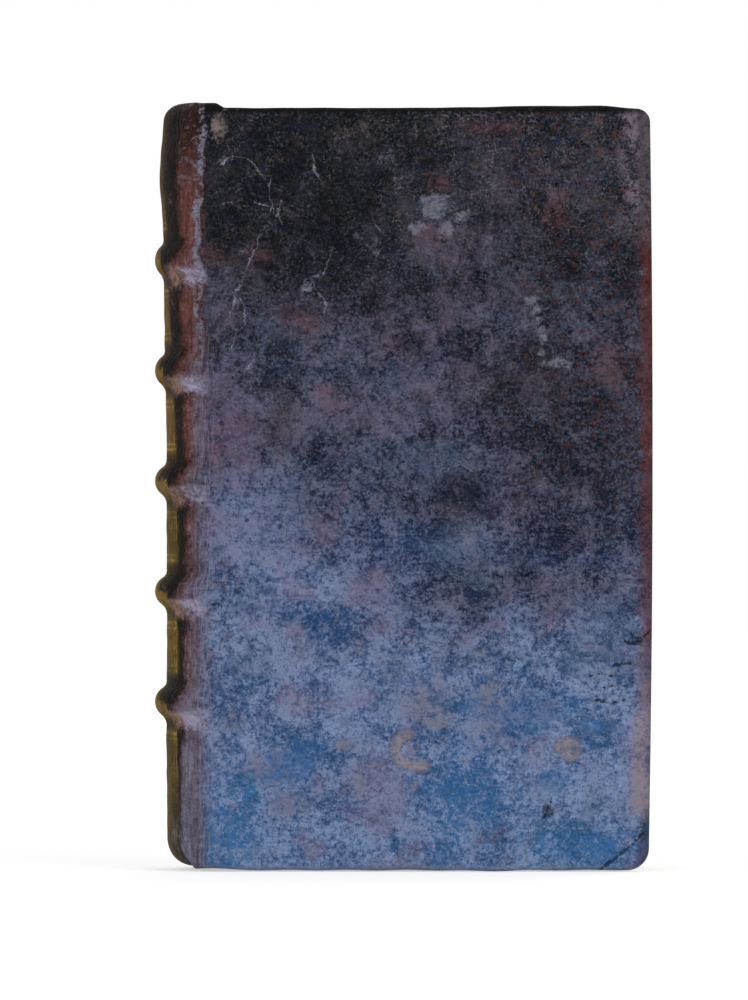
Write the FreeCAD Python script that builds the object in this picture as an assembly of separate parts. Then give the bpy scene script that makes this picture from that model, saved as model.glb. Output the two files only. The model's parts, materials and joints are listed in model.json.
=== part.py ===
"""Antique leather book, a duodecimo in full calf on five raised bands.

The book stands on its tail edges, spine to the left (-X), fore edge to the right (+X), front cover
towards -Y and head up (+Z). The origin is the middle of the foot of its bounding box. Millimetres.

How the real book is built, from the inside out: leaves sewn on five cords into a rounded and backed
text block; sewn endbands at head and tail; parchment lining between the cords; pasteboards laced on
by the ends of the cords; one calf skin drawn over boards and spine and turned in; endpapers pasted
down last. The skin is divided at the two joints, where it flexes as the covers open.
"""

import FreeCAD, Part
import math
import os

Vector = FreeCAD.Vector
UP = Vector(0, 0, 1)

# Overall sizes of the closed book
board_height = 168.7  # height of the covers, with their leather
board_width = 98.9  # joint to fore edge, with leather
book_thickness = 35.0  # over both covers
spine_swell = 8.7  # how far the rounded spine stands out from the joint
cap_rise = 1.3  # headcap above the covers

# Sheet materials
cover_leather = 0.8  # calf over the boards
spine_leather = 0.9  # calf over the spine
turn_in_leather = 0.6  # pared edge turned over the board
pasteboard = 2.6
endpaper = 0.2
spine_lining = 0.3

# Text block
head_square = 2.7  # cover beyond the leaves at the head
tail_square = 4.2
fore_square = 3.2
block_to_cover = 0.1  # air between the first leaf and the pastedown
backing_flank = 0.5  # how far the shoulder leans towards the board

# Sewing cords and raised bands
cord_diameter = 2.9
cord_clearance = 0.05
band_count = 5
band_pitch = 24.5
tail_panel = 37.3  # foot of the covers to the first band
hollow_above_band = 1.8  # radius of the hollow where the leather is nipped up to a band
hollow_below_band = 3.0
cord_flat_count = 6  # small rounds that repeat are drawn with flats
crest_flat_count = 2  # each side of a band's crest
hollow_flat_count = 2
band_tuck = 0.1  # crest of a band below the face of the cover, at the joint

# Shoulder of the spine, seen in plan
shoulder_radius = 3.0
shoulder_set = 1.9  # centre of the shoulder behind the joint line
shoulder_drop = 0.5  # shoulder below the face of the cover
band_shoulder_radius = 6.0
shoulder_wrap = 36.0  # degrees that the leather runs past the shoulder, into the joint

# Headcap and tailcap
head_cap_round = 2.6
tail_cap_round = 2.8
cap_lip = 0.5  # lip of the cap past its rounding
cap_clearance = 0.1
tail_cap_lift = 0.8  # worn foot of the spine above the foot of the covers

# Endbands
endband_set = 1.3  # centre of the endband inside the back of the leaves
endband_half_angle = 24.0
head_endband_radius = 1.1
tail_endband_radius = 0.85
silk_waist = 0.14  # silk thinner between two wraps
core_share = 0.55  # core radius over endband radius
silk_wrap_count = 12
endband_flat_count = 6
silk_clearance = 0.02

# Covers
joint_gap = 0.4  # slot between spine leather and cover leather
outer_edge_round = 1.2
inner_edge_round = 0.5
fore_edge_bow = 0.9  # the fore edge stands out this much at mid height
head_corner_radius = 2.0
tail_corner_radius = 3.6  # the lower corners are rubbed rounder
turn_in_width = 14.0
pastedown_margin = 3.6  # leather left in view around the pastedown
pastedown_setback = 0.6  # pastedown clear of the joint

# Cord ends laced into the boards
slip_thickness = 1.3
slip_width = 2.6
slip_run = 7.0  # from the board's edge to its hole
slip_hole_radius = 1.3
fan_length = 8.0
fan_spread = 4.0  # half width of the frayed end
fan_thickness = 0.5
slip_hole_flat_count = 8
slip_clearance = 0.05

# Planes and edges that follow from those sizes
band_rise = cord_diameter + cord_clearance - spine_lining
fore_edge_x = (board_width + spine_swell + band_rise) / 2
joint_x = fore_edge_x - board_width
panel_x = joint_x - spine_swell
band_x = panel_x - band_rise
cover_y = book_thickness / 2
board_outer_y = cover_y - cover_leather
board_inner_y = board_outer_y - pasteboard
pastedown_y = board_inner_y - endpaper
leaf_y = pastedown_y - block_to_cover
block_y = leaf_y - endpaper
board_x = joint_x + joint_gap
block_fore_x = fore_edge_x - fore_square
block_foot = tail_square
block_top = board_height - head_square
cap_top = board_height + cap_rise
cord_radius = cord_diameter / 2
band_heights = [tail_panel + k * band_pitch for k in range(band_count)]


class RoundedBack:
    """The plan of a rounded spine: a large arc across the back and a small arc over each shoulder.

    The large arc touches back_x on the centre line and runs smoothly into both shoulder arcs.
    """

    def __init__(self, back_x, shoulder_x, shoulder_y, radius):
        reach = back_x + radius
        self.centre_x = (reach**2 - shoulder_x**2 - shoulder_y**2) / (2 * (reach - shoulder_x))
        self.radius = self.centre_x - back_x
        self.shoulder_x = shoulder_x
        self.shoulder_y = shoulder_y
        self.shoulder_radius = radius
        self.half_angle = math.degrees(math.atan2(shoulder_y, self.centre_x - shoulder_x))

    def sweep(self, section, past_crest):
        """Carries a section round the whole back.

        section(base) is a face in the XZ plane whose outer edge lies base from the axis.
        """
        half = self.half_angle
        middle = turned(section(self.radius), self.centre_x, 0, 180 - half, 2 * half)
        wrap = 90 - half + past_crest
        over_shoulder = section(self.shoulder_radius)
        front = turned(over_shoulder, self.shoulder_x, -self.shoulder_y, 180 + half, wrap)
        back = turned(over_shoulder, self.shoulder_x, self.shoulder_y, 180 - half - wrap, wrap)
        return middle.fuse([front, back]).removeSplitter()

    def point(self, inset, angle, on_shoulder):
        """A point of the front half, inset inside the back, at an angle from -X towards the front."""
        turn = math.radians(180 + angle)
        if on_shoulder:
            radius = self.shoulder_radius - inset
            return Vector(
                self.shoulder_x + radius * math.cos(turn), -self.shoulder_y + radius * math.sin(turn), 0
            )
        radius = self.radius - inset
        return Vector(self.centre_x + radius * math.cos(turn), radius * math.sin(turn), 0)


def turned(face, centre_x, centre_y, start, sweep):
    """Revolves an XZ face about the vertical axis, then turns and moves it to its place."""
    solid = face.revolve(Vector(0, 0, 0), UP, sweep)
    solid.rotate(Vector(0, 0, 0), UP, start)
    solid.translate(Vector(centre_x, centre_y, 0))
    return solid


def xz_face(edges):
    """A face from edges that close in the XZ plane."""
    return Part.Face(Part.Wire(edges))


def line(start, end):
    return Part.makeLine(start, end)


def arc(start, middle, end):
    return Part.Arc(start, middle, end).toShape()


def rectangle(low_x, high_x, low_z, high_z):
    """A rectangular face in the XZ plane."""
    return polygon(
        [
            Vector(low_x, 0, low_z),
            Vector(high_x, 0, low_z),
            Vector(high_x, 0, high_z),
            Vector(low_x, 0, high_z),
        ]
    )


def flats(centre, radius, start, end, count):
    """Points along an arc in the XZ plane, from start to end degrees, with count flats between them."""
    points = []
    for k in range(count + 1):
        turn = math.radians(start + (end - start) * k / count)
        points.append(centre + Vector(radius * math.cos(turn), 0, radius * math.sin(turn)))
    return points


def polygon(points):
    """A face through points that lie in one plane."""
    return Part.Face(Part.makePolygon(points + points[:1]))


def block_in_space(x, y, z):
    """A box between pairs of limits, given in either order."""
    low = Vector(min(x), min(y), min(z))
    return Part.makeBox(abs(x[1] - x[0]), abs(y[1] - y[0]), abs(z[1] - z[0]), low)


leather_back = RoundedBack(
    panel_x, joint_x - shoulder_set, cover_y - shoulder_drop - shoulder_radius, shoulder_radius
)
band_back = RoundedBack(
    band_x, joint_x - shoulder_set, cover_y - band_tuck - band_shoulder_radius, band_shoulder_radius
)
leaves_inset = spine_leather + spine_lining


def text_block():
    """The sewn leaves: round back with backed shoulders, hollow fore edge, flat sides."""
    tip_angle = 90 + shoulder_wrap
    back_front = leather_back.point(leaves_inset, leather_back.half_angle, False)
    shoulder_mid = leather_back.point(leaves_inset, (leather_back.half_angle + tip_angle) / 2, True)
    shoulder_tip = leather_back.point(leaves_inset, tip_angle, True)
    root = Vector(shoulder_tip.x + backing_flank, -block_y, 0)
    back_mid = leather_back.point(leaves_inset, 0, False)
    hollow = leather_back.radius - leaves_inset
    hollow_depth = hollow - math.sqrt(hollow**2 - block_y**2)
    fore_front = Vector(block_fore_x, -block_y, 0)
    fore_mid = Vector(block_fore_x - hollow_depth, 0, 0)

    def other(point):
        return Vector(point.x, -point.y, point.z)

    outline = Part.Wire(
        [
            arc(back_front, back_mid, other(back_front)),
            arc(other(back_front), other(shoulder_mid), other(shoulder_tip)),
            line(other(shoulder_tip), other(root)),
            line(other(root), other(fore_front)),
            arc(other(fore_front), fore_mid, fore_front),
            line(fore_front, root),
            line(root, shoulder_tip),
            arc(shoulder_tip, shoulder_mid, back_front),
        ]
    )
    block = Part.Face(outline).extrude(Vector(0, 0, block_top - block_foot))
    block.translate(Vector(0, 0, block_foot))
    return block


def free_endpaper(side):
    """The loose leaf next to the cover, on the front (-1) or the back (+1)."""
    root_x = leather_back.point(leaves_inset, 90 + shoulder_wrap, True).x + backing_flank
    return block_in_space((root_x, block_fore_x), (side * block_y, side * leaf_y), (block_foot, block_top))


def inside_back(inset, low, high):
    """Everything more than inset inside the spine leather's face, between two heights."""

    def section(base):
        return rectangle(0, base - inset, low, high)

    between_shoulders = block_in_space(
        (leather_back.shoulder_x, joint_x),
        (-leather_back.shoulder_y, leather_back.shoulder_y),
        (low, high),
    )
    return leather_back.sweep(section, 90).fuse(between_shoulders)


def short_of_joint(shape):
    """Trims what would reach past the joint and meet the cover."""
    size = book_thickness + cap_top
    past = Part.makeBox(size, size, 2 * size, Vector(joint_x, -size / 2, -size))
    return shape.cut(past)


def sewing_cord(height):
    """One hemp cord across the back, hammered flat against the leaves at both shoulders."""

    def section(base):
        centre = Vector(base - spine_leather - cord_radius, 0, height)
        return polygon(flats(centre, cord_radius, 0, 360, cord_flat_count)[:-1])

    rod = band_back.sweep(section, shoulder_wrap)
    leaves = inside_back(leaves_inset, height - cord_diameter, height + cord_diameter)
    return short_of_joint(rod.cut(leaves))


def lining_panels():
    """Parchment strips pasted to the leaves between the cords and beyond the outer two."""
    half_cord = cord_radius + cord_clearance
    stops = [block_foot]
    for height in band_heights:
        stops += [height - half_cord, height + half_cord]
    stops.append(block_top)
    panels = []
    for low, high in zip(stops[::2], stops[1::2]):

        def section(base, low=low, high=high):
            return rectangle(base - leaves_inset, base - spine_leather, low, high)

        panels.append(leather_back.sweep(section, 0))
    return Part.makeCompound(panels)


def band_over_cord(height):
    """Leather nipped up over a cord: a round crest, with a hollow above it and one below."""
    crest = cord_radius + spine_leather
    stand = band_rise - crest  # the cord's centre above the leather of the panel

    def flank(base, hollow, side):
        """Points of one hollow from the crest out, and its angle on the crest's circle."""
        run = math.sqrt((crest + hollow) ** 2 - (hollow - stand) ** 2)
        lean = math.degrees(math.atan2(hollow - stand, run))
        centre = Vector(base - band_rise + hollow, 0, height + side * run)
        points = flats(centre, hollow, -side * (90 + lean), -side * 180, hollow_flat_count)
        return points, 90 - lean

    def section(base):
        upper, upper_turn = flank(base, hollow_above_band, 1)
        lower, lower_turn = flank(base, hollow_below_band, -1)
        cord_centre = Vector(base - crest, 0, height)
        below = flats(cord_centre, crest, -lower_turn, 0, crest_flat_count)[1:]
        above = flats(cord_centre, crest, 0, upper_turn, crest_flat_count)[1:-1]
        sunk = Vector(-spine_leather, 0, 0)
        return polygon(
            below + above + upper + [upper[-1] + sunk, lower[-1] + sunk] + lower[::-1]
        )

    return band_back.sweep(section, shoulder_wrap)


def spine_shell():
    """The calf over the back, rounded over at the headcap and the tailcap."""
    foot = tail_cap_lift
    top = cap_top
    head_under = block_top + 2 * head_endband_radius + cap_clearance

    def cap(base, wanted_round):
        """Radius of a cap's rounding and how far in its lip reaches, short of the axis."""
        lip = max(base - wanted_round - cap_lip, 0)
        return min(wanted_round, base - lip), lip

    def section(base):
        inner = base - spine_leather
        head_round, head_lip = cap(base, head_cap_round)
        tail_round, tail_lip = cap(base, tail_cap_round)
        head_centre = Vector(base - head_round, 0, top - head_round)
        tail_centre = Vector(base - tail_round, 0, foot + tail_round)
        head = flats(head_centre, head_round, 0, 90, 2)
        tail = flats(tail_centre, tail_round, 270, 360, 2)
        tail_inner = flats(tail_centre, tail_round - spine_leather, 360, 270, 2)
        return xz_face(
            [
                line(tail[2], head[0]),
                arc(*head),
                line(head[2], Vector(head_lip, 0, top)),
                line(Vector(head_lip, 0, top), Vector(head_lip, 0, head_under)),
                line(Vector(head_lip, 0, head_under), Vector(inner, 0, head_under)),
                line(Vector(inner, 0, head_under), tail_inner[0]),
                arc(*tail_inner),
                line(tail_inner[2], Vector(tail_lip, 0, foot + spine_leather)),
                line(Vector(tail_lip, 0, foot + spine_leather), Vector(tail_lip, 0, foot)),
                line(Vector(tail_lip, 0, foot), tail[0]),
                arc(*tail),
            ]
        )

    return leather_back.sweep(section, shoulder_wrap)


def cord_channel(height):
    """Room for one cord under the leather, open towards the leaves."""
    radius = (cord_radius + cord_clearance) / math.cos(math.pi / cord_flat_count)

    def section(base):
        centre = Vector(base - spine_leather - cord_radius, 0, height)
        vault = flats(centre, radius, -90, 90, cord_flat_count // 2)
        sunk = Vector(-cord_diameter, 0, 0)
        return polygon(vault + [vault[-1] + sunk, vault[0] + sunk])

    return band_back.sweep(section, shoulder_wrap)


def spine_covering():
    """The spine leather with its five raised bands, fitted over cords and lining."""
    bands = [band_over_cord(height) for height in band_heights]
    channels = [cord_channel(height) for height in band_heights]
    hollow = inside_back(spine_leather, block_foot, block_top)
    return short_of_joint(spine_shell().fuse(bands).cut([hollow] + channels)).removeSplitter()


def silk_wrap(radius, bore, half_length):
    """One turn of silk: a small barrel along X, fuller in the middle, around the core."""

    def ring(x, ring_radius):
        corners = flats(Vector(0, 0, 0), ring_radius, 0, 360, endband_flat_count)
        return Part.makePolygon([Vector(x, corner.x, corner.z) for corner in corners])

    waist = radius - silk_waist
    rings = [ring(-half_length, waist), ring(0, radius), ring(half_length, waist)]
    barrel = Part.makeLoft(rings, True, True)
    return barrel.cut(Part.Face(ring(-half_length, bore)).extrude(Vector(2 * half_length, 0, 0)))


def endband(radius, centre_z):
    """Core and silk of one endband. The silk is a row of wraps along the core."""
    path_radius = leather_back.radius - leaves_inset - endband_set
    core_radius = radius * core_share
    core_section = polygon(flats(Vector(path_radius, 0, 0), core_radius, 0, 360, endband_flat_count)[:-1])
    core = turned(
        core_section, leather_back.centre_x, 0, 180 - endband_half_angle, 2 * endband_half_angle
    )
    core.translate(Vector(0, 0, centre_z))
    step = 2 * endband_half_angle / silk_wrap_count
    inner_half_step = (path_radius - radius) * math.tan(math.radians(step / 2))
    wrap = silk_wrap(radius, core_radius + silk_clearance, inner_half_step - silk_clearance / 2)
    wraps = []
    for k in range(silk_wrap_count):
        angle = 180 - endband_half_angle + (k + 0.5) * step
        turn = math.radians(angle)
        one = wrap.copy()
        one.rotate(Vector(0, 0, 0), UP, angle + 90)
        one.translate(
            Vector(
                leather_back.centre_x + path_radius * math.cos(turn),
                path_radius * math.sin(turn),
                centre_z,
            )
        )
        wraps.append(one)
    return core, Part.makeCompound(wraps)


def cover_plate(inset, y_from, y_to):
    """A plate of the cover's outline, drawn in by inset except at the joint.

    Square at the joint, round at both fore corners, with a fore edge bowed about mid height. Each
    corner's circle touches the level edge and the bow's large circle.
    """
    foot = inset
    top = board_height - inset
    middle = board_height / 2
    bow_radius = (middle**2 + fore_edge_bow**2) / (2 * fore_edge_bow)
    bow_x = fore_edge_x - bow_radius
    bow_radius -= inset

    def corner(radius, edge, side):
        """Level tangent point, middle and fore tangent point of a corner."""
        centre_z = edge + side * radius
        centre_x = bow_x + math.sqrt((bow_radius - radius) ** 2 - (centre_z - middle) ** 2)
        centre = Vector(centre_x, 0, centre_z)
        outward = (centre - Vector(bow_x, 0, middle)).normalize()
        bisector = (outward + Vector(0, 0, -side)).normalize()
        return Vector(centre_x, 0, edge), centre + bisector * radius, centre + outward * radius

    foot_level, foot_mid, foot_fore = corner(tail_corner_radius - inset, foot, 1)
    top_level, top_mid, top_fore = corner(head_corner_radius - inset, top, -1)
    plate = xz_face(
        [
            line(Vector(board_x, 0, foot), foot_level),
            arc(foot_level, foot_mid, foot_fore),
            arc(foot_fore, Vector(bow_x + bow_radius, 0, middle), top_fore),
            arc(top_fore, top_mid, top_level),
            line(top_level, Vector(board_x, 0, top)),
            line(Vector(board_x, 0, top), Vector(board_x, 0, foot)),
        ]
    )
    plate.translate(Vector(0, y_from, 0))
    return plate.extrude(Vector(0, y_to - y_from, 0))


def board_plate():
    """The pasteboard, sunk around three edges where the leather is turned in over it."""
    full = cover_plate(cover_leather, -(board_inner_y + turn_in_leather), -board_outer_y)
    margin = cover_leather + turn_in_width
    raised = block_in_space(
        (board_x, fore_edge_x - margin),
        (-board_inner_y, -(board_inner_y + turn_in_leather)),
        (margin, board_height - margin),
    )
    return full.fuse(raised).removeSplitter()


def laced_slip(height, grow):
    """The end of one cord: over the board, down through its hole and fanned out inside."""
    outer = block_in_space(
        (board_x, board_x + slip_run + slip_hole_radius),
        (-board_outer_y, -(board_outer_y - slip_thickness - grow)),
        (height - slip_width / 2 - grow, height + slip_width / 2 + grow),
    )
    hole_x = board_x + slip_run
    start = slip_hole_radius + grow
    hole = flats(Vector(hole_x, -board_outer_y, height), start, 0, 360, slip_hole_flat_count)[:-1]
    through = polygon(hole).extrude(Vector(0, pasteboard, 0))
    fan_corners = [
        Vector(hole_x, 0, height - start),
        Vector(hole_x + fan_length + grow, 0, height - fan_spread - grow),
        Vector(hole_x + fan_length + grow, 0, height + fan_spread + grow),
        Vector(hole_x, 0, height + start),
    ]
    fan = polygon(fan_corners)
    fan.translate(Vector(0, -board_inner_y, 0))
    fan = fan.extrude(Vector(0, -(fan_thickness + grow), 0))
    return outer.fuse([through, fan]).removeSplitter()


def pasteboard_laced():
    """The board with its lacing channels cut."""
    return board_plate().cut([laced_slip(height, slip_clearance) for height in band_heights])


def cover_skin():
    """The calf over one cover, turned in at head, tail and fore edge."""
    skin = cover_plate(0, -board_inner_y, -cover_y)

    def rim(y):
        """Edges in the plane y, without the one at the joint."""
        for edge in skin.Edges:
            flat = all(abs(vertex.Y - y) < 1e-6 for vertex in edge.Vertexes)
            if flat and max(vertex.X for vertex in edge.Vertexes) > board_x + 1e-6:
                yield edge

    skin = skin.makeFillet(outer_edge_round, list(rim(-cover_y)))
    skin = skin.makeFillet(inner_edge_round, list(rim(-board_inner_y)))
    return skin.cut(board_plate())


def pastedown_sheet():
    """The endpaper leaf pasted over board and turn-ins."""
    return block_in_space(
        (board_x + pastedown_setback, fore_edge_x - pastedown_margin),
        (-pastedown_y, -board_inner_y),
        (pastedown_margin, board_height - pastedown_margin),
    )


def behind(shape):
    """The same piece on the back cover."""
    return shape.mirror(Vector(0, 0, 0), Vector(0, 1, 0))


def build():
    """Every piece of the book, by name."""
    head_core, head_silk = endband(head_endband_radius, block_top + head_endband_radius)
    tail_core, tail_silk = endband(tail_endband_radius, block_foot - tail_endband_radius)
    board = pasteboard_laced()
    skin = cover_skin()
    slips = Part.makeCompound([laced_slip(height, 0) for height in band_heights])
    pastedown = pastedown_sheet()
    pieces = {
        "text_block": text_block(),
        "front_free_endpaper": free_endpaper(-1),
        "back_free_endpaper": free_endpaper(1),
        "spine_lining": lining_panels(),
        "spine_leather": spine_covering(),
        "head_endband_core": head_core,
        "head_endband_silk": head_silk,
        "tail_endband_core": tail_core,
        "tail_endband_silk": tail_silk,
        "front_board": board,
        "front_cover_leather": skin,
        "front_cord_slips": slips,
        "front_pastedown": pastedown,
        "back_board": behind(board),
        "back_cover_leather": behind(skin),
        "back_cord_slips": behind(slips),
        "back_pastedown": behind(pastedown),
    }
    for k, height in enumerate(band_heights):
        pieces[f"sewing_cord_{k + 1}"] = sewing_cord(height)
    return pieces


os.makedirs("parts", exist_ok=True)
for name, shape in build().items():
    shape.exportStep(f"parts/{name}.step")
    print(
        f"{name}: {len(shape.Solids)} solid(s), {shape.Volume:.1f} mm3, valid {shape.isValid()}"
    )
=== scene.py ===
# %% [markdown]
# # An antique book in worn calf
#
# The book is a small duodecimo, about 170 mm high, sewn on five cords. One calf skin covers the
# boards and the rounded spine, and it has gone dark, crackled and scuffed. This lesson dresses the
# fixed frame of the book: it replaces the plain leather, leaves and endbands with modelled surfaces,
# and gives every other piece a finish. Each surface is a function of two parameters, worked out with
# numpy as whole arrays, so that a change of one size carries through.

# %% Load the frame
import json
import math

import bmesh
import bpy
import numpy as np
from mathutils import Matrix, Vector


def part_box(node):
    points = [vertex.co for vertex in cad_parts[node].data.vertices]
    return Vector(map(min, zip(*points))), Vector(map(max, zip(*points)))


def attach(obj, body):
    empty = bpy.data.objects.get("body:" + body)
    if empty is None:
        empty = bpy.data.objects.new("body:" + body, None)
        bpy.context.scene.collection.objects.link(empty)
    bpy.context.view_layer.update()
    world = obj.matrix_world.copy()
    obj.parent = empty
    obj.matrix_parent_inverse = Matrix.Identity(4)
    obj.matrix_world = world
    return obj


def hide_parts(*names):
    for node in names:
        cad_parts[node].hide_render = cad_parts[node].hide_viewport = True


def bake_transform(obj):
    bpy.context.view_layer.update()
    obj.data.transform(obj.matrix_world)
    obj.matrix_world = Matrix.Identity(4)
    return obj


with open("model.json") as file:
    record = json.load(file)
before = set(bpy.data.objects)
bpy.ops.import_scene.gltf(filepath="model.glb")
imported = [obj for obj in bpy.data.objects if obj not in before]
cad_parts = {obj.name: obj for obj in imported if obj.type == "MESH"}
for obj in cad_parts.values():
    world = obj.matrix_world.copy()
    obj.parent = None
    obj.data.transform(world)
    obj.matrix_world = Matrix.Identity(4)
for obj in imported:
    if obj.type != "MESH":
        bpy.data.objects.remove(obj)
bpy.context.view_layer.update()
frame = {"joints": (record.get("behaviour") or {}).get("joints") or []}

METRES_PER_MM = 0.001

# %% [markdown]
# ## Sizes from the frame
#
# Everything is placed from the boxes of the pieces that the frame already holds, in millimetres,
# because a binder thinks in millimetres. Points are turned into metres once, when a mesh is made.

# %% Boxes in millimetres
def box_mm(node):
    """Lowest and highest corner of one piece of the frame, in millimetres."""
    low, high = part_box(node)
    return np.array(low) / METRES_PER_MM, np.array(high) / METRES_PER_MM


spine_low, spine_high = box_mm("spine_leather")
cover_low, cover_high = box_mm("front_cover_leather")
lining_low, _ = box_mm("spine_lining")
leaves_low, leaves_high = box_mm("text_block")
_, endpaper_high = box_mm("front_free_endpaper")
band_heights = [sum(corner[2] for corner in box_mm(f"sewing_cord_{k}")) / 2 for k in range(1, 6)]
joint_x = frame["joints"][0]["pos_m"][0] / METRES_PER_MM
cover_y = -cover_low[1]

# %% [markdown]
# ## Putting a surface into a mesh
#
# A surface starts as an array of points with one index for each parameter. Neighbouring indices
# make the quads. Closed shells are made of several such patches that share their border points, so
# the faces are turned outwards together at the end, and a count of open edges proves the seams.

# %% Mesh helpers
def quads(index):
    """Four corners of every cell of an index grid: itself, right, upper right and upper."""
    corners = index[:-1, :-1], index[:-1, 1:], index[1:, 1:], index[1:, :-1]
    return np.stack(corners, -1).reshape(-1, 4).tolist()


def new_piece(name, points, faces, smooth=True, **layers):
    """A mesh from points in millimetres, with its faces turned outwards and its edges counted.

    Each layer is three numbers a point, kept as an attribute, so that a finish can follow the skin.
    """
    mesh = bpy.data.meshes.new(name)
    mesh.from_pydata(points * METRES_PER_MM, [], faces)
    for layer, values in layers.items():
        place = mesh.attributes.new(layer, "FLOAT_VECTOR", "POINT")
        place.data.foreach_set("vector", np.asarray(values, np.float32).ravel())
    work = bmesh.new()
    work.from_mesh(mesh)
    bmesh.ops.recalc_face_normals(work, faces=work.faces)
    open_edges = sum(1 for edge in work.edges if len(edge.link_faces) != 2)
    work.to_mesh(mesh)
    work.free()
    mesh.polygons.foreach_set("use_smooth", np.full(len(mesh.polygons), smooth))
    piece = bpy.data.objects.new(name, mesh)
    bpy.context.collection.objects.link(piece)
    triangles = sum(len(face) - 2 for face in faces)
    print(f"{name}: {len(points)} points, {triangles} triangles, {open_edges} open edges")
    return piece


def tube_faces(rows, columns):
    """Faces of a tube whose columns run round it, with a closing face at each end."""
    index = np.arange(rows * columns).reshape(rows, columns)
    return quads(np.hstack([index, index[:, :1]])) + [index[0].tolist(), index[-1, ::-1].tolist()]


def smooth_step(value, start, end):
    """0 before start, 1 after end, and 3t^2 - 2t^3 between them."""
    share = np.clip((value - start) / (end - start), 0, 1)
    return share * share * (3 - 2 * share)


def waves(x, z, length, count, seed):
    """A gentle uneven surface: the mean of plane waves in random directions, about length long."""
    dice = np.random.default_rng(seed)
    total = np.zeros(np.broadcast(x, z).shape)
    for _ in range(count):
        heading, phase = dice.uniform(0, 2 * math.pi, 2)
        pace = 2 * math.pi / (length * dice.uniform(0.6, 1.5))
        total += np.sin(pace * (x * math.cos(heading) + z * math.sin(heading)) + phase)
    return total / math.sqrt(count)

# %% [markdown]
# ## The plan of the back
#
# Seen from the head, the back of a rounded and backed book is one large arc with a small arc over
# each shoulder, and then the leather dips into the joint and rises on to the cover. A raised band
# follows a rounder plan of its own, which meets the cover level. Both plans are piecewise curves of
# the same parameter q: 0 to 1 is the back, 1 to 2 the shoulder and 2 to 3 the joint.

# %% Plans of panel and band
SPINE_LEATHER = 0.9
SHOULDER_RADIUS = 3.0
SHOULDER_SET = 1.9
SHOULDER_DROP = 0.5
SHOULDER_PAST_CREST = math.radians(20)
BAND_SHOULDER_RADIUS = 6.0
BAND_TUCK = 0.1
BAND_OVER_BOARD = 0.12
JOINT_REACH = 1.2
SEAM_Q = 1.85

panel_x = lining_low[0] - SPINE_LEATHER
band_x = spine_low[0]
face_x = joint_x + JOINT_REACH


def two_arcs(back_x, shoulder_x, shoulder_y, radius):
    """Centre, radius and half angle of the arc that touches back_x and both shoulder circles."""
    reach = back_x + radius
    centre = (reach**2 - shoulder_x**2 - shoulder_y**2) / (2 * (reach - shoulder_x))
    return centre, centre - back_x, math.atan2(shoulder_y, centre - shoulder_x)


def plan(q, back_x, shoulder_y, radius, past_crest, land_y):
    """Front half of a back, from its middle at q 0 to the cover at q 3.

    Two arcs, then a cubic from the end of the second to (face_x, land_y). The cubic starts along the
    shoulder's tangent and lands level.
    """
    shoulder_x = joint_x - SHOULDER_SET
    centre, large, half = two_arcs(back_x, shoulder_x, shoulder_y, radius)
    last = math.pi / 2 + past_crest
    turn = np.where(q < 1, half * q, half + (last - half) * np.clip(q - 1, 0, 1))
    x = np.where(q < 1, centre - large * np.cos(turn), shoulder_x - radius * np.cos(turn))
    y = np.where(q < 1, -large * np.sin(turn), -shoulder_y - radius * np.sin(turn))
    t = np.clip(q - 2, 0, 1)
    start = np.array([shoulder_x - radius * math.cos(last), -shoulder_y - radius * math.sin(last)])
    end = np.array([face_x, land_y])
    pull = np.linalg.norm(end - start)
    leave = pull * np.array([math.sin(last), -math.cos(last)])
    land = pull * np.array([1.0, 0.0])
    cubic = [
        (2 * t**3 - 3 * t**2 + 1) * start[k] + (t**3 - 2 * t**2 + t) * leave[k]
        + (3 * t**2 - 2 * t**3) * end[k] + (t**3 - t**2) * land[k]
        for k in (0, 1)
    ]
    return np.where(q > 2, cubic[0], x), np.where(q > 2, cubic[1], y)

# %% [markdown]
# ## Panel, band and the length of the skin
#
# The panel between two bands has tight shoulders, and a band a wide one, because its cord runs on over
# the board. The length of the skin along the panel is added up once from short straight steps, and is
# then looked up in both directions.

# %% Panel and band
def panel_arc():
    """Centre and radius of the large arc of the back between two bands."""
    shoulder_y = cover_y - SHOULDER_DROP - SHOULDER_RADIUS
    return two_arcs(panel_x, joint_x - SHOULDER_SET, shoulder_y, SHOULDER_RADIUS)[:2]


def panel_plan(q):
    """Plan of the leather between two bands."""
    shoulder_y = cover_y - SHOULDER_DROP - SHOULDER_RADIUS
    return plan(q, panel_x, shoulder_y, SHOULDER_RADIUS, SHOULDER_PAST_CREST, -cover_y)


def band_plan(q):
    """Plan of the crest of a band, which runs on over the cord that is laced into the board."""
    shoulder_y = cover_y - BAND_TUCK - BAND_SHOULDER_RADIUS
    return plan(q, band_x, shoulder_y, BAND_SHOULDER_RADIUS, 0.0, -cover_y - BAND_OVER_BOARD)


q_table = np.linspace(0, 3, 900)
length_table = np.concatenate([[0], np.cumsum(np.hypot(*(np.diff(c) for c in panel_plan(q_table))))])


def along_skin(q):
    """Distance from the middle of the back, measured on the leather of a panel."""
    return np.interp(q, q_table, length_table)


def q_between(first, last, spacing):
    """Parameters of points evenly spaced along the panel's plan, from one parameter to another."""
    start, end = along_skin(first), along_skin(last)
    lengths = np.linspace(start, end, int(round((end - start) / spacing)) + 1)
    return np.interp(lengths, length_table, q_table)


cover_start = float(along_skin(3.0))
print("middle of the back to shoulder:", round(float(along_skin(1.0)), 1), "mm")
print("middle of the back to cover:", round(cover_start, 1), "mm")

# %% [markdown]
# ## The raised bands
#
# Leather nipped up over a cord has a round crest, then a hollow on each side where the band nippers
# pressed it down. The section is two circles that touch. On this book the hollow under each band is
# wider than the one above it, because the skin was pulled from the head.

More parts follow.
